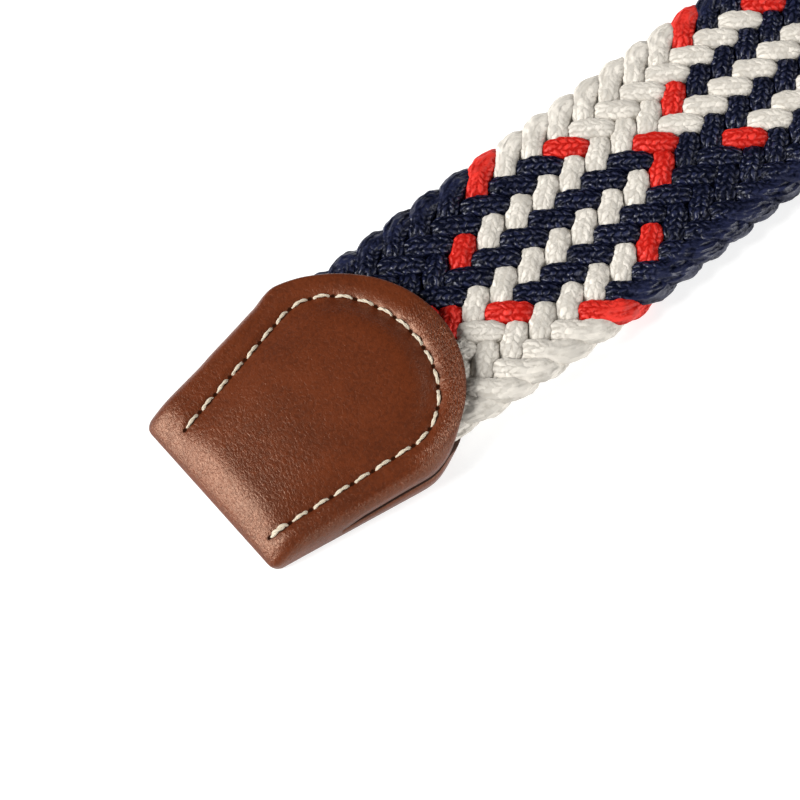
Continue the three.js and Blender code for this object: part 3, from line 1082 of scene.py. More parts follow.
        # Where it turns, the cord is pulled rounder and its cover smoother.
        flat = self.ring_shape(sides)
        angle = np.arctan2(flat[:, 1], flat[:, 0])
        rounder = (stack(np.cos(angle), np.sin(angle)) - flat) * self.turned_roundness
        flat = flat + rounder * turned[:, None, None]
        knob = knob * (1.0 - self.turned_roundness * turned)
        row = np.arange(sides) // 2
        centre = (np.arange(sides) % 2).astype(float)
        waves = np.cos(math.tau * (along[:, None] / GRAIN_PITCH + 0.5 * (row % 2)))
        steady, wave, sunk = self.knob_shape
        bump = knob[:, None] * (centre * (steady + wave * waves) - sunk * (1.0 - centre))
        drift = np.random.default_rng(number).uniform(0.0, math.tau, (3, sides))
        drift = np.cumsum(drift * self.swell_spread, axis=1)
        for (period, rise), start in zip(self.swells, drift):
            bump = bump + rise * np.sin(math.tau * along[:, None] / period + start)
        out_x = (wide[:, None] + bump) * flat[..., 0]
        out_y = (thick[:, None] + bump) * flat[..., 1]
        points = middle[:, None, :] + out_x[..., None] * side[:, None, :] + out_y[..., None] * up[:, None, :]
        # The surface presses the undersides flat.
        points[..., 2] = np.maximum(points[..., 2], self.clearance / 2.0)
        return points

    def ring_shape(self, sides: int) -> Array:
        """Give a cross section of size one, with its points evenly spaced round a real cord.

        Args:
            sides: The number of points.

        Returns:
            Rows of x and y, the second of which lies at the edge between two rows of yarn.
        """
        angle = np.linspace(0.0, math.tau, 721)
        cos, sin = np.cos(angle), np.sin(angle)
        power = 2.0 / self.squareness
        shape = stack(np.sign(cos) * np.abs(cos) ** power, np.sign(sin) * np.abs(sin) ** power)
        length = path_length(shape * [self.wide_cord, self.cord_thickness])
        places = (np.arange(sides) + 0.5 * sides / YARN_ROWS) / sides * length[-1]
        return points_at(np.mod(places, length[-1]), length, shape)

    def turn_at(self, number: int, x: float) -> float:
        """Give a cord's half steps at a place along the belt."""
        return (x - self.first_turn) * 2.0 / self.step - 2.0 * number

    def build_cord(self, number: int, cover: Material) -> Piece:
        """Build one cord, fine where it can be seen closely and coarser elsewhere.

        Args:
            number: The cord's number across the band.
            cover: The material of its cover.

        Returns:
            The cord's object.
        """
        turns = np.arange(self.turn_at(number, self.start), self.turn_at(number, self.end), 0.02)
        length = path_length(self.middle_line(number, turns))
        fine_turns = [self.turn_at(number, x) for x in (self.fine_from, self.fine_to)]
        fine_ends = np.interp(fine_turns, turns, length)
        quarter = GRAIN_PITCH / 4.0
        fine_along = np.arange(math.ceil(fine_ends[0] / quarter), fine_ends[1] / quarter) * quarter
        fine = np.interp(fine_along, length, turns)
        first = np.arange(math.ceil(turns[0] * 2) / 2, fine[0] - 0.2, 0.5)
        last = np.arange(math.ceil((fine[-1] + 0.1) * 3), turns[-1] * 3) / 3
        tube = Tubes()
        sides = YARN_ROWS
        ends = []
        for turn, points in ((first, sides), (fine, 2 * sides), (last, sides)):
            along = np.interp(turn, turns, length)
            share = np.arange(len(turn)) / self.knob_fade
            knob = self.knob * np.clip(np.minimum(share, share[::-1]), 0.0, 1.0) * (points > sides)
            begin = tube.add_rings(self.rings(number, turn, points, along, knob), along, YARN_ROWS)
            ends.append((begin, begin + (len(turn) - 1) * points, float(along[0]), float(along[-1])))
        tube.halve(ends[1][0], ends[0][1], sides, (ends[1][2], ends[0][3]), after=False)
        tube.halve(ends[1][1], ends[2][0], sides, (ends[1][3], ends[2][2]), after=True)
        tube.close(ends[0][0], sides, outward=False)
        tube.close(ends[2][1], sides, outward=True)
        return tube.piece(f"cord_{number:02d}_{self.colour_of(number).value}", "cord", cover)

    def build(self) -> None:
        """Build and dress all the cords."""
        covers = {colour: colour.finish().material() for colour in CordColour}
        for number in range(self.cords):
            colour = self.colour_of(number)
            place_on_belt(self.build_cord(number, covers[colour]), "woven_band", colour.slot)


# The leather tabs and their stitches


class TabEnd(Enum):
    """Which end of the belt a tab closes."""

    TIP = "tip"
    BUCKLE = "buckle"


@dataclass
class StitchLine:
    """The line of needle holes, from near the fold round the tab's round end and back."""

    near_start: tuple[float, float] = (2.05, 10.3)
    far_start: tuple[float, float] = (3.2, 9.2)
    shoulder: tuple[float, float] = (23.3, 13.4)
    apex: float = 34.3
    roundness: float = 0.56
    stitches: int = 26

    def points(self) -> Array:
        """Give the line from the -Y side round to the +Y side.

        Returns:
            Rows of distance from the fold and y, in even small steps.
        """
        line = np.concatenate([self.half(self.near_start) * [1, -1], self.half(self.far_start)[::-1][1:]])
        length = path_length(line)
        return points_at(np.linspace(0.0, length[-1], 600), length, line)

    def half(self, begin: tuple[float, float]) -> Array:
        """Give half of the line, from its first hole to the round end's middle.

        Args:
            begin: The first hole.

        Returns:
            Rows of distance from the fold and y.
        """
        start, shoulder = np.array(begin), np.array(self.shoulder)
        ahead = (shoulder - start) / np.linalg.norm(shoulder - start)
        handle = shoulder + ahead * (self.apex - shoulder[0]) * self.roundness
        knots = [shoulder, handle, (self.apex, shoulder[1] * self.roundness), (self.apex, 0.0)]
        t = np.linspace(0.0, 1.0, 80)[:, None]
        weights = ((1 - t) ** 3, 3 * (1 - t) ** 2 * t, 3 * (1 - t) * t**2, t**3)
        bend = sum(weight * np.array(knot) for weight, knot in zip(weights, knots))
        side = start + (shoulder - start) * np.linspace(0.0, 1.0, 60)[:-1, None]
        return np.concatenate([side, bend])

    def measure(self, places: Array) -> tuple[Array, Array]:
        """Measure places against the line.

        Args:
            places: Rows of distance from the fold and y.

        Returns:
            Stitches along the line, and the distance from it, positive on the rim's side.
        """
        line = self.points()
        tangent, outward = right_of(line)
        step = np.linalg.norm(line[1] - line[0])
        along, off = [], []
        for part in np.array_split(places, len(places) // 2000 + 1):
            gap = part[:, None, :] - line
            nearest = np.argmin((gap**2).sum(-1), axis=1)
            found = gap[np.arange(len(part)), nearest]
            along.append(nearest + (found * tangent[nearest]).sum(-1) / step)
            aside = (found * outward[nearest]).sum(-1)
            past_end = (nearest == 0) | (nearest == len(line) - 1)
            off.append(np.where(past_end, aside, np.sign(aside) * np.linalg.norm(found, axis=1)))
        return np.concatenate(along) / (len(line) - 1) * self.stitches, np.concatenate(off)


@dataclass
class Places:
    """Places on a flap, by arrays of one shape.

    They hold the distances from the fold, the middle line and the outline, the stitches
    along the stitch line, and the distance off that line, positive on the rim's side.
    """

    a: Array
    y: Array
    depth: Array
    along: Array
    off: Array


@dataclass
class LeatherTab:
    """A strip of leather folded over the band's end and sewn, with a round sewn end.

    Its own lengths run from the fold, which lies at fold_x, towards the belt's middle.
    """

    end: TabEnd
    fold_x: float
    fold_height: float  # of the upper face near the fold
    nose_height: float  # of the fold's foremost line
    nose: float  # length over which the upper face rises from that line
    line: StitchLine
    spacing: float = 0.34
    length: float = 38.7
    shoulder: float = 23.7
    fold_half: float = 13.4
    shoulder_half: float = 17.5
    spine_end: float = 12.0  # the rows meet on the middle line up to this far from the round end
    # The tip tab rises by this much in each millimetre, and has the fold's height at slope_from.
    slope: float = 0.0927
    slope_from: float = 2.6
    corner: tuple[float, float] = (1.3, 1.1)  # of the outline at the fold
    knife_radius: float = 1.6  # with which the shoulder was rounded
    knife_reach: float = 4.0  # along the belt
    dense_rows: float = 2.2  # from the fold
    # By hand, the far side was cut a little wider than the near one.
    far_side: float = 0.045
    far_side_fade: tuple[float, float] = (24.0, 36.0)
    far_corner: float = 0.025
    far_corner_fade: tuple[float, float] = (0.0, 18.0)
    row_turn: float = 3.5  # length over which the rows turn past the shoulder
    straight_rows: float = 6.0  # from the fold, where the rows lie along it
    rim_width: float = 6.0
    inner_width: float = 8.0
    row_shares: tuple[float, float] = (0.72, 2.2)  # of the spacing, on the rim and inside it
    thickness: float = 1.25
    # A step holds the height that is gained and the two distances between which it is.
    turned_up: float = 1.9
    turned_up_over: float = 5.0  # from the fold
    side_step: Triple = (0.8, 9.0, 22.0)
    slit_steps: tuple[Triple, ...] = ((0.65, 10.0, 13.5), (0.35, 23.0, 29.0))
    buckle_step: Triple = (0.2, 15.0, 36.0)
    open_from: tuple[float, float] = (26.5, 21.0)  # on the near and the far side
    opening: float = 4.5  # length over which the sides part
    buckle_closed_from: tuple[float, float] = (8.0, 12.0)
    sewn_over: tuple[float, float] = (0.3, 0.4)  # stitches before the seam's end and after it
    groove_depth: float = 0.32
    groove_width: float = 0.42
    groove_power: float = 1.6
    pull: float = 0.28  # share of the groove's depth that comes and goes with each stitch
    bead_height: float = 0.17
    bead_at: float = 1.6  # off the line
    bead_width: float = 1.1
    crown: float = 0.35
    crown_edge: float = 2.6
    dome: float = 1.5
    dome_edge: float = 2.2
    dome_at: float = 29.0
    dome_half: tuple[float, float] = (27.0, 14.0)  # along and across
    flare_step: Triple = (0.2, 0.2, 3.6)  # off the line
    flare_from: tuple[float, float] = (23.0, 30.0)
    press_depth: float = 0.14  # of the line pressed along the closed sides
    press_at: float = 2.2  # off the line
    press_width: float = 0.6
    nose_corner: float = 0.8
    nose_step: float = 0.45
    nose_power: float = 2.7
    edge_drop: float = 0.38
    edge_width: tuple[float, float] = (0.7, 1.3)  # on the open sides, and how much more on closed
    edge_power: float = 2.2
    lower_groove: tuple[float, float] = (0.55, 0.55)  # depth and width
    lower_nose: float = 0.4  # how much longer than high the fold's underside is rounded
    lower_edge: tuple[float, float] = (0.2, 0.35)  # height and width
    # The lower flap is cut a little narrower, by a share, and shorter round the sewn end.
    lower_narrower: Triple = (0.012, 24.0, 29.0)
    lower_shorter: Triple = (0.3, 24.0, 34.0)
    slot_length: float = 0.0
    slot_width: float = 5.2
    unmarked: float = 9.0  # a distance off the line at which no needle hole is drawn
    ply: float = 0.165  # radius of a ply of the thread
    first_ply: float = 0.25
    lean: float = 0.13  # of a stitch, across the line
    thread_dive: float = 0.75  # of a stitch's ends into the leather
    thread_gap: float = 0.09  # of a stitch, between its end and the needle hole's middle
    twist: float = 2.3  # millimetres in which the plies turn once round each other

    def half_outline(self) -> Array:
        """Give the -Y half of the outline, from the fold to the round end's middle.

        Returns:
            Rows of distance from the fold and y, closer together at the fold.
        """
        reach = self.length - self.shoulder
        radius = (self.shoulder_half**2 + reach**2) / (2.0 * reach)
        middle = self.length - radius
        angle = np.linspace(math.asin((self.shoulder - middle) / radius), np.pi / 2, 400)[1:]
        bend = stack(middle + radius * np.sin(angle), -radius * np.cos(angle))
        side = -np.linspace(self.fold_half, self.shoulder_half, 200)
        side = stack(np.linspace(0.0, self.shoulder, 200), side)
        side[:, 1] += self.corner[1] * (1.0 - quarter_round(side[:, 0] / self.corner[0]))
        line = np.concatenate([side, bend])
        length = path_length(line)
        # The knife rounded the shoulder a little.
        near = bell(length[:, None], length, self.knife_radius) * np.gradient(length)
        rounded = near @ line / near.sum(axis=1, keepdims=True)
        share = np.exp(-(((line[:, 0] - self.shoulder) / self.knife_reach) ** 4))[:, None]
        line = line + (rounded - line) * share
        nose = self.dense_rows * (1.0 - np.cos(np.linspace(0.0, np.pi / 2, 13)))
        rest = np.linspace(nose[-1], length[-1], int((length[-1] - nose[-1]) / self.spacing))[1:]
        return points_at(np.concatenate([nose, rest]), length, line)

    def plan(self) -> tuple[Array, Array]:
        """Lay out one flap as rows that follow its outline inwards to its middle line.

        Returns:
            Points as columns along the outline by rows inwards by two, and the distance of
            each row from the outline.
        """
        half = self.half_outline()
        inward = -right_of(half)[1]
        # Turning the rows slowly past the shoulder keeps them from crossing.
        length = path_length(half)
        whole = np.concatenate([length, 2.0 * length[-1] - length[::-1][1:]])
        both = np.concatenate([inward, inward[::-1][1:] * [1, -1]])
        inward = unit(bell(length[:, None], whole, self.row_turn) * np.gradient(whole) @ both)
        near_fold = 1.0 - smooth_step(half[:, :1], 0.0, self.straight_rows)
        inward = unit(inward * (1.0 - near_fold) + np.array([0.0, 1.0]) * near_fold)
        edge = [0.0, 0.06, 0.16, 0.3, 0.48]
        rim_step, inner_step = (self.spacing * share for share in self.row_shares)
        rim = np.concatenate([edge, np.arange(0.7, self.rim_width + 0.01, rim_step)])
        share = np.linspace(0.0, 1.0, int(self.inner_width / inner_step))[1:]
        spine = stack(half[:, 0] * (self.length - self.spine_end) / self.length, 0.0)
        rows = [half + inward * distance for distance in rim]
        last = rows[-1]
        rows += [last + (spine - last) * s for s in share]
        grid = np.stack(rows, axis=1)
        mirrored = grid[::-1][1:] * [1, -1]
        a = mirrored[..., 0]
        wider = self.far_side * (1.0 - smooth_step(a, *self.far_side_fade))
        mirrored[..., 1] *= 1.0 + wider + self.far_corner * (1.0 - smooth_step(a, *self.far_corner_fade))
        return np.concatenate([grid, mirrored]), np.concatenate([rim, rim[-1] + share * self.inner_width])

    def base_height(self, a: Array) -> Array:
        """Give the height of the upper flap's face at the stitches, before the groove.

        Args:
            a: Distances from the fold.

        Returns:
            Heights above the surface that the belt lies on.
        """
        if self.end is TabEnd.TIP:
            return self.fold_height + self.slope * (a - self.slope_from)
        return self.fold_height + gain(a, self.buckle_step)

    def closed(self, at: Places) -> Array:
        """Tell where the flaps' sides are drawn together, from 0 to 1."""
        made = 1.0 - smooth_step(at.a - np.where(at.y < 0.0, *self.open_from), 0.0, self.opening)
        return made * smooth_step(at.a, *self.buckle_closed_from) if self.end is TabEnd.BUCKLE else made

    def side_height(self, a: Array) -> Array:
        """Give the height to which the lower flap's sides are turned up.

        Args:
            a: Distances from the fold.

        Returns:
            Heights above the surface that the belt lies on.
        """
        start = self.nose_height if self.end is TabEnd.TIP else self.turned_up
        rise = (self.turned_up - start) * smooth_step(a, 0.0, self.turned_up_over)
        return start + rise + gain(a, self.side_step)

    def slit(self, a: Array) -> Array:
        """Give the width of the slit between the two flaps' sides."""
        return sum(gain(a, step) for step in self.slit_steps)

    def sewn(self, along: Array) -> Array:
        """Tell where the stitches hold the leather down.

        Args:
            along: Stitches along the stitch line.

        Returns:
            Numbers from 0 to 1.
        """
        before, after = self.sewn_over
        ends = smooth_step(along, self.line.stitches - after, self.line.stitches + before)
        return smooth_step(along, -before, after) * (1.0 - ends)

    def upper_height(self, at: Places) -> Array:
        """Give the height of the upper flap's face, which is the tab's upper side.

        Args:
            at: Places on the flap.

        Returns:
            Heights above the surface that the belt lies on.
        """
        dip = np.exp(-((np.abs(at.off) / self.groove_width) ** self.groove_power))
        pull = 1.0 - self.pull + self.pull * np.cos(math.tau * at.along)
        bead = bell(at.off, self.bead_at, self.bead_width) * self.bead_height
        inside = -np.minimum(at.off, 0.0)
        panel = self.crown * (1.0 - bell(inside, 0.0, self.crown_edge))
        # The band inside makes the panel bulge most in its middle.
        bulge = np.maximum(1.0 - ((at.a - self.dome_at) / self.dome_half[0]) ** 2, 0.0)
        bulge = bulge * np.maximum(1.0 - (at.y / self.dome_half[1]) ** 2, 0.0)
        panel = panel + self.dome * bulge * (1.0 - bell(inside, 0.0, self.dome_edge))
        closed = self.closed(at)
        top = self.base_height(at.a) + self.sewn(at.along) * (bead - self.groove_depth * dip * pull) + panel
        # Round the sewn end the rim is pushed up by the band that it bends over.
        top = top + gain(at.off, self.flare_step) * smooth_step(at.a, *self.flare_from)
        top = top - self.press_depth * closed * bell(at.off, self.press_at, self.press_width)
        middle = self.nose_height
        corner = quarter_round(at.a / self.nose_corner)
        if self.end is TabEnd.BUCKLE:
            face = middle + (top - middle) * quarter_round(at.a / self.nose)
        else:
            # The fold rises steeply from the surface and levels out towards the stitches.
            ramp = 1.0 - (1.0 - np.clip(at.a / self.nose, 0.0, 1.0)) ** self.nose_power
            face = middle + self.nose_step * corner * (1.0 - ramp) + (top - middle) * ramp
        open_edge = np.maximum(face - self.edge_drop, middle * (1.0 - corner))
        side = self.side_height(at.a)
        shut_edge = np.minimum(side + self.slit(at.a), np.maximum(open_edge, side))
        edge = open_edge + (shut_edge - open_edge) * closed
        width = self.edge_width[0] + self.edge_width[1] * closed
        return edge + (face - edge) * quarter_round(at.depth / width, self.edge_power)

    def lower_height(self, at: Places) -> Array:
        """Give the height of the lower flap's face, which is the tab's underside.

        Args:
            at: Places on the flap.

        Returns:
            Heights above the surface that the belt lies on.
        """
        middle = self.nose_height
        depth, width = self.lower_groove
        groove = depth * self.sewn(at.along) * bell(at.off, 0.0, width)
        nose = quarter_round(at.a / (middle + self.lower_nose))
        base = middle * (1.0 - nose) + groove * nose
        closed = self.closed(at)
        rise, width = self.lower_edge
        edge = base + rise * nose * (1.0 - closed) + (self.side_height(at.a) - base) * closed
        return base + (edge - base) * (1.0 - quarter_round(at.depth / width))

    def to_belt(self, a: Array, y: Array, z: Array) -> Array:
        """Turn the tab's own lengths into places on the belt."""
        way = 1.0 if self.end is TabEnd.TIP else -1.0
        return stack(self.fold_x + way * a, way * y, z)

    def build_leather(self, leather: Material, edge: Material) -> Piece:
        """Build the folded strip as one sheet of the leather's thickness.

        Args:
            leather: The material of its faces.
            edge: The material of its cut edge.

        Returns:
            The leather's object.
        """
        grid, distance = self.plan()
        columns, rows = grid.shape[:2]
        a, y = grid[..., 0], grid[..., 1]
        along, off = (value.reshape(a.shape) for value in self.line.measure(grid.reshape(-1, 2)))
        at = Places(a, y, np.broadcast_to(distance, a.shape), along, off)
        upper = self.to_belt(a, y, self.upper_height(at))
        low_y = y * (1.0 - gain(a, self.lower_narrower))
        lower = self.to_belt(a - gain(a, self.lower_shorter), low_y, self.lower_height(at))
        # The loop runs round the upper flap, over the fold and back round the lower one.
        beyond = (along < -0.55) | (along > self.line.stitches + 0.55)
        marks = stack(along, np.where(beyond, self.unmarked, off))
        points, marks, from_fold = (
            np.concatenate([above, below[::-1][1:-1]]).reshape(2 * (columns - 1) * rows, -1)
            for above, below in ((upper, lower), (marks, marks), (a, a))
        )
        i, j = np.meshgrid(np.arange(2 * (columns - 1)), np.arange(rows - 1), indexing="ij")
        here = i * rows + j
        ahead = (i + 1) % (2 * (columns - 1)) * rows + j
        # Points that fall together at the fold and on the middle line become one.
        keys = np.round(points * 2000.0).astype(np.int64)
        _, keep, joined = np.unique(keys, axis=0, return_index=True, return_inverse=True)
        joined = joined.reshape(-1)
        faces: Faces = []
        corners = []
        for quad in stack(here, ahead, ahead + 1, here + 1).reshape(-1, 4):
            merged = joined[quad]
            kept = [n for n in range(4) if merged[n] != merged[n - 1]]
            if len(kept) >= 3:
                faces.append(tuple(int(merged[n]) for n in kept))
                corners.append(marks[quad[kept]])
        uvs = {"stitch": np.concatenate(corners)}
        piece = make_piece(f"{self.end.value}_tab_leather", points[keep], faces, [leather, edge], uvs)
        sheet = piece.modifiers.new("thickness", "SOLIDIFY")
        sheet.thickness = self.thickness * METRES
        sheet.offset = -1.0
        sheet.use_even_offset = False
        sheet.material_offset_rim = 1
        if self.end is TabEnd.TIP:
            # The band fills the fold, so the sheet is thin where only its outside shows.
            weights = 0.12 + 0.88 * smooth_step(from_fold[keep, 0], 1.0, 7.0)
            group = piece.vertex_groups.new(name="thickness")
            for index, weight in enumerate(weights.tolist()):
                group.add([index], weight, "REPLACE")
            sheet.vertex_group = group.name
        sheet.use_quality_normals = True
        bake_modifiers(piece)
        if self.slot_length:
            self.cut_slot(piece, edge)
        return piece

    def cut_slot(self, piece: Piece, edge: Material) -> None:
        """Cut the slot in which the prong stands through the fold.

        Args:
            piece: The leather.
            edge: The material of the slot's sides.
        """
        half = self.slot_width / 2.0
        back = self.slot_length - half
        angle = np.linspace(-np.pi / 2, np.pi / 2, 17)
        a = np.append(back + half * np.cos(angle), (-3.0, -3.0))
        y = np.append(half * np.sin(angle), (half, -half))
        n = len(a)
        points = np.concatenate([self.to_belt(a, y, z) for z in (-1.0, self.fold_height + 2.0)])
        faces: Faces = [tuple(range(n))[::-1], tuple(range(n, 2 * n))]
        faces += [(i, (i + 1) % n, n + (i + 1) % n, n + i) for i in range(n)]
        cutter = make_piece("slot_cutter", points, faces, [edge])
        cut = piece.modifiers.new("slot", "BOOLEAN")
        cut.operation = "DIFFERENCE"
        cut.object = cutter
        cut.solver = "EXACT"
        cut.material_mode = "TRANSFER"
        bake_modifiers(piece)
        bpy.data.objects.remove(cutter)

    def build_stitches(self, thread: Material) -> Piece:
        """Build each stitch, above and below, as two plies laid round each other.

        Args:
            thread: The thread's material.

        Returns:
            All the stitches as one object.
        """
        line = self.line.points()
        tubes = Tubes()
        seen_closely = self.end is TabEnd.TIP
        rings, sides = (22, 8) if seen_closely else (12, 6)
        share = np.linspace(0.0, 1.0, rings)
        sag = 1.0 - np.abs(2.0 * share - 1.0) ** 6
        gap = self.thread_gap
        for above in (True, False):
            for number in range(self.line.stitches):
                place = (number + gap + share * (1.0 - 2.0 * gap)) / self.line.stitches * (len(line) - 1)
                plan = points_at(place, np.arange(len(line)), line)
                # Each stitch leans a little across the line, as saddle stitches do.
                plan = plan + right_of(plan)[1] * (self.lean * (0.5 - share))[:, None]
                depth = np.full(rings, self.rim_width)
                at = Places(plan[:, 0], plan[:, 1], depth, number + share, np.zeros(rings))
                first = seen_closely and above and number == 0
                thick = self.first_ply if first else self.ply
                if above:
                    z = self.upper_height(at) + thick * 1.1 * sag - self.thread_dive * (1.0 - sag) + 0.06
                else:
                    z = self.lower_height(at) - 0.22 * sag + self.thread_dive * (1.0 - sag)
                self.add_plies(tubes, stack(at.a, at.y, z), thick, sides, number)
        return tubes.piece(f"{self.end.value}_tab_stitches", "thread", thread)

    def add_plies(self, tubes: Tubes, middle: Array, thick: float, sides: int, number: int) -> None:
        """Add the two plies of one stitch.

        Args:
            tubes: The mesh that takes them.
            middle: The stitch's middle line in the tab's own lengths.
            thick: The radius of a ply.
            sides: Points of a ring.
            number: The stitch's number, which turns its twist.
        """
        side, up = across(unit(np.gradient(middle, axis=0)))
        length = path_length(middle)
        angle = (math.tau * np.arange(sides) / sides)[None, :, None]
        ring = np.cos(angle) * side[:, None, :] + np.sin(angle) * up[:, None, :]
        radius = thick * (0.8 + 0.2 * np.sin(np.pi * np.linspace(0.02, 0.98, len(middle))))
        for ply in (0.0, np.pi):
            turn = (math.tau * length / self.twist + ply + number * 1.9)[:, None]
            centre = middle + 0.55 * thick * (np.cos(turn) * side + 0.7 * np.sin(turn) * up)
            rings = centre[:, None, :] + radius[:, None, None] * ring
            tubes.add_tube(self.to_belt(rings[..., 0], rings[..., 1], rings[..., 2]), length)

    def build(self, leather: Material, edge: Material, thread: Material) -> None:
        """Build and dress the tab.

        Args:
            leather: The material of its faces.
            edge: The material of its cut edge.
            thread: The material of its stitches.
        """
        node = f"{self.end.value}_leather"
        place_on_belt(self.build_leather(leather, edge), node, "leather")
        place_on_belt(self.build_stitches(thread), node, "thread")


# The buckle


@dataclass
class PinBuckle:
    """A plain buckle in one piece: a flat rounded frame, its heel bar and a prong."""

    heel_x: float = 516.3
    heel_z: float = 3.35
    length: float = 36.0
    width: float = 46.0
    bar: float = 4.6
    thickness: float = 3.2
    corner: float = 7.0
    heel_radius: float = 1.75
    eye_radius: float = 2.4
    prong_radius: float = 1.5
    collar_radius: float = 2.9
    collar_width: float = 4.0
    overhang: float = 0.8
    sides: int = 32  # of the bars
    prong_sides: int = 20

    def lean(self, points: Array) -> Array:
        """Lean points about the heel bar so that the front bar rests, and place them.

        Args:
            points: Points of the buckle as it lies level, from the heel bar's middle.

        Returns:
            Their places on the belt.
        """
        drop = self.heel_z - self.thickness / 2.0
        angle = math.asin(drop / (self.length - self.bar / 2.0))
        x = points[..., 0] * math.cos(angle) + points[..., 2] * math.sin(angle)
        z = -points[..., 0] * math.sin(angle) + points[..., 2] * math.cos(angle)
        return stack(x + self.heel_x, points[..., 1], z + self.heel_z)

    def frame_line(self) -> Array:
        """Give the middle line of the frame's bar, from one eye round to the other.

        Returns:
            Rows of x and y.
        """
        reach = self.width / 2.0 - self.bar / 2.0
        front = self.length - self.bar
        radius = self.corner - self.bar / 2.0
        turn = np.linspace(0.0, np.pi / 2, 16)
        corner = stack(front - radius + radius * np.sin(turn), -reach + radius - radius * np.cos(turn))
        side = stack(np.linspace(0.0, front - radius, 14)[:-1], -reach)
        middle = stack(front, np.linspace(corner[-1, 1], 0.0, 10)[1:])
        half = np.concatenate([side, corner, middle])
        return np.concatenate([half, half[::-1][1:] * [1, -1]])

    def add_bar(self, tubes: Tubes, radius: float, half: float, middle: float, bevel: float) -> None:
        """Add a round bar across the belt with softly bevelled ends.

        Args:
            tubes: The mesh that takes it.
            radius: The bar's radius.
            half: Half its length.
            middle: Its middle's y.
            bevel: The bevel at its ends.
        """
        turn = np.linspace(0.0, np.pi / 2, 5)
        end = stack(-half + bevel - bevel * np.cos(turn), radius - bevel + bevel * np.sin(turn))
        y, r = np.concatenate([end, end[::-1] * [-1, 1]]).T[:, :, None]
        angle = math.tau * np.arange(self.sides) / self.sides
        tubes.add_tube(self.lean(stack(r * np.cos(angle), y + middle, -r * np.sin(angle))), y[:, 0])

    def add_frame(self, tubes: Tubes) -> None:
        """Add the frame's flat bar with its rounded edges.

        Args:
            tubes: The mesh that takes it.
        """
        line = self.frame_line()
        x, y = line.T[:, :, None]
        out_x, out_y = right_of(line)[1].T[:, :, None]
        angle = math.tau * (np.arange(self.sides) + 0.5) / self.sides
        cos, sin = np.cos(angle), np.sin(angle)
        flat = np.sign(cos) * np.abs(cos) ** 0.45 * self.bar / 2.0
        up = np.sign(sin) * np.abs(sin) ** 0.5 * self.thickness / 2.0
        rings = stack(x + out_x * flat, y + out_y * flat, up)
        tubes.add_tube(self.lean(rings[:, ::-1]), np.arange(len(line)) * 1.0)

    def add_prong(self, tubes: Tubes) -> None:
        """Add the prong, which rises from its collar and comes down on the front bar.

        Args:
            tubes: The mesh that takes it.
        """
        rest = self.thickness / 2.0 + self.prong_radius - 0.3
        reach = self.length - self.bar + self.overhang
        share = np.linspace(0.0, 1.0, 40)
        rise = np.interp(share, [0.0, 0.25, 0.65, 1.0], [1.4, rest + 0.5, rest + 0.5, rest])
        rise = np.convolve(np.pad(rise, 4, mode="edge"), np.ones(9) / 9, mode="valid")
        radius = self.prong_radius * (1.0 - 0.12 * smooth_step(share, 0.5, 1.0))
        cap = np.linspace(0.0, np.pi / 2, 7)[1:-1]
        x = np.append(share * reach, reach + radius[-1] * np.sin(cap))
        rise = np.append(rise, np.full(len(cap), rise[-1]))[:, None]
        radius = np.append(radius, radius[-1] * np.cos(cap))[:, None]
        angle = math.tau * np.arange(self.prong_sides) / self.prong_sides
        rings = stack(x[:, None], radius * np.cos(angle), rise + radius * np.sin(angle))
        tubes.add_tube(self.lean(rings), x)

    def build(self) -> None:
        """Build and dress the buckle."""
        tubes = Tubes()
        eye = (self.width - self.bar) / 2.0
        self.add_frame(tubes)
        self.add_bar(tubes, self.heel_radius, eye, 0.0, 0.2)
        self.add_bar(tubes, self.collar_radius, self.collar_width / 2.0, 0.0, 0.5)
        self.add_bar(tubes, self.eye_radius, self.bar / 2.0, -eye, 0.7)
        self.add_bar(tubes, self.eye_radius, self.bar / 2.0, eye, 0.7)
        self.add_prong(tubes)
        piece = tubes.piece("pin_buckle", "along", BrushedNickelPlate().material())
        place_on_belt(piece, "buckle", "buckle_metal")


# The studio


@dataclass(frozen=True)
class SoftBox:
    """A square soft light, its place and side in metres and its power in watts."""

    name: str
    place: Triple
    side: float
    power: float

    def build(self, target: Triple) -> None:
        """Hang the soft box.

        Args:
            target: The place that it faces, in metres.
        """
        data = bpy.data.lights.new(self.name, "AREA")
        data.shape = "SQUARE"
        data.size = self.side
        data.energy = self.power
        light = bpy.data.objects.new(self.name, data)
        light.location = self.place
        light.rotation_euler = (Vector(target) - Vector(self.place)).to_track_quat("-Z", "Y").to_euler()
        bpy.context.scene.collection.objects.link(light)


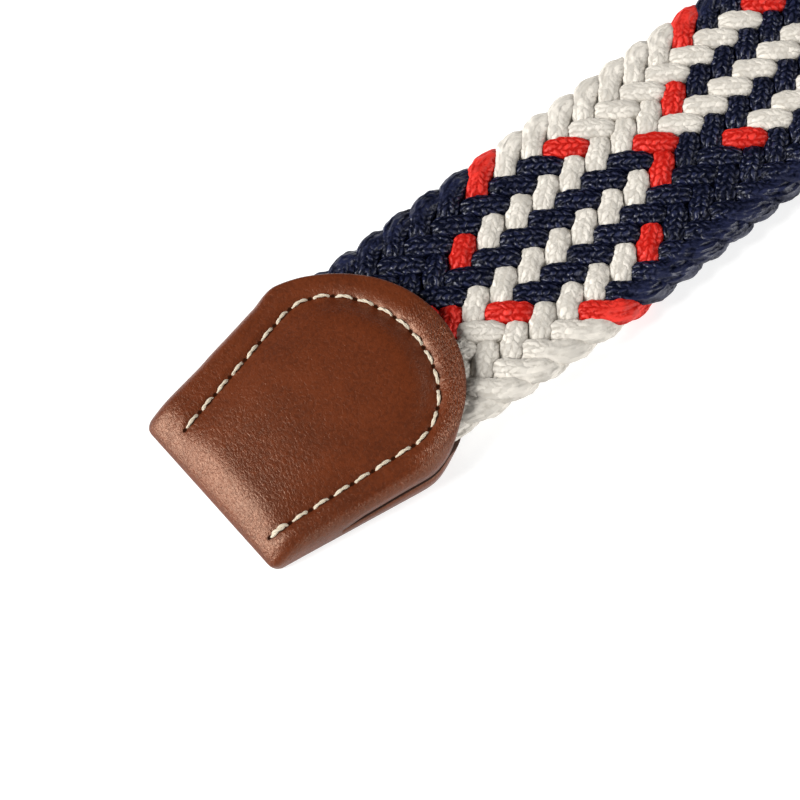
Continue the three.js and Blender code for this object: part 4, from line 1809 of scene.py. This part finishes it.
@dataclass
class Studio:
    """A white floor, soft lights and the camera over the belt's tip."""

    floor_half: float = 4000.0
    lit_place: Triple = (-0.3, 0.0, 0.0)
    lights: tuple[SoftBox, ...] = (
        SoftBox("left_soft_box", (-2.3, 0.95, 1.35), 1.3, 120.0),
        SoftBox("right_soft_box", (0.6, -2.4, 1.0), 1.8, 63.0),
        SoftBox("far_soft_box", (2.4, -1.2, 0.9), 1.6, 36.0),
    )
    fill: float = 0.1
    camera_place: Triple = (-592.77, -103.86, 215.29)
    camera_turn: Triple = (29.5266, 2.5431, -40.172)  # in degrees
    lens: float = 82.73
    sensor: float = 36.0

    def build_floor(self) -> None:
        """Lay the floor under the belt."""
        square = np.array([(-1, -1, 0), (1, -1, 0), (1, 1, 0), (-1, 1, 0)])
        make_piece("floor", square * self.floor_half, [(0, 1, 2, 3)], [LitPaperFloor().material()])

    def build_world(self) -> None:
        """Fill the shadows with an even, faint white light from all sides."""
        world = bpy.data.worlds.new("studio_fill")
        world.use_nodes = True
        background = world.node_tree.nodes["Background"]
        background.inputs["Color"].default_value = linear_colour("#ffffff")
        background.inputs["Strength"].default_value = self.fill
        bpy.context.scene.world = world

    def build_camera(self) -> None:
        """Place the camera where the belt's tip was seen from."""
        data = bpy.data.cameras.new("camera")
        data.lens = self.lens
        data.sensor_width = self.sensor
        data.clip_start = 0.01
        data.clip_end = 20.0
        camera = bpy.data.objects.new("camera", data)
        camera.location = Vector(self.camera_place) * METRES
        camera.rotation_euler = Euler([math.radians(angle) for angle in self.camera_turn])
        bpy.context.scene.collection.objects.link(camera)
        bpy.context.scene.camera = camera

    def build(self) -> None:
        """Build the floor, the lights and the camera."""
        self.build_floor()
        for light in self.lights:
            light.build(self.lit_place)
        self.build_world()
        self.build_camera()
        bpy.context.scene.view_settings.view_transform = "Standard"
        log.info("studio: floor, %d soft boxes and camera", len(self.lights))


def main() -> None:
    """Build the studio and the belt."""
    logging.basicConfig(level=logging.INFO, format="%(name)s: %(message)s")
    Studio().build()
    band = PlaitedBand()
    band.build()
    materials = (SmoothCalfLeather().material(), CutLeatherEdge().material(), WaxedLinenThread().material())
    tip_tab = LeatherTab(
        end=TabEnd.TIP, fold_x=-BELT_END, fold_height=4.0, nose_height=1.3, nose=5.5, line=StitchLine()
    )
    buckle_tab = LeatherTab(
        end=TabEnd.BUCKLE,
        fold_x=band.buckle_fold,
        fold_height=6.7,
        nose_height=3.35,
        nose=3.35,
        line=StitchLine(near_start=(11.6, 11.4), far_start=(11.6, 11.4), stitches=21),
        spacing=0.62,
        slot_length=8.5,
    )
    for tab in (tip_tab, buckle_tab):
        tab.build(*materials)
    PinBuckle().build()


if __name__ == "__main__":
    main()
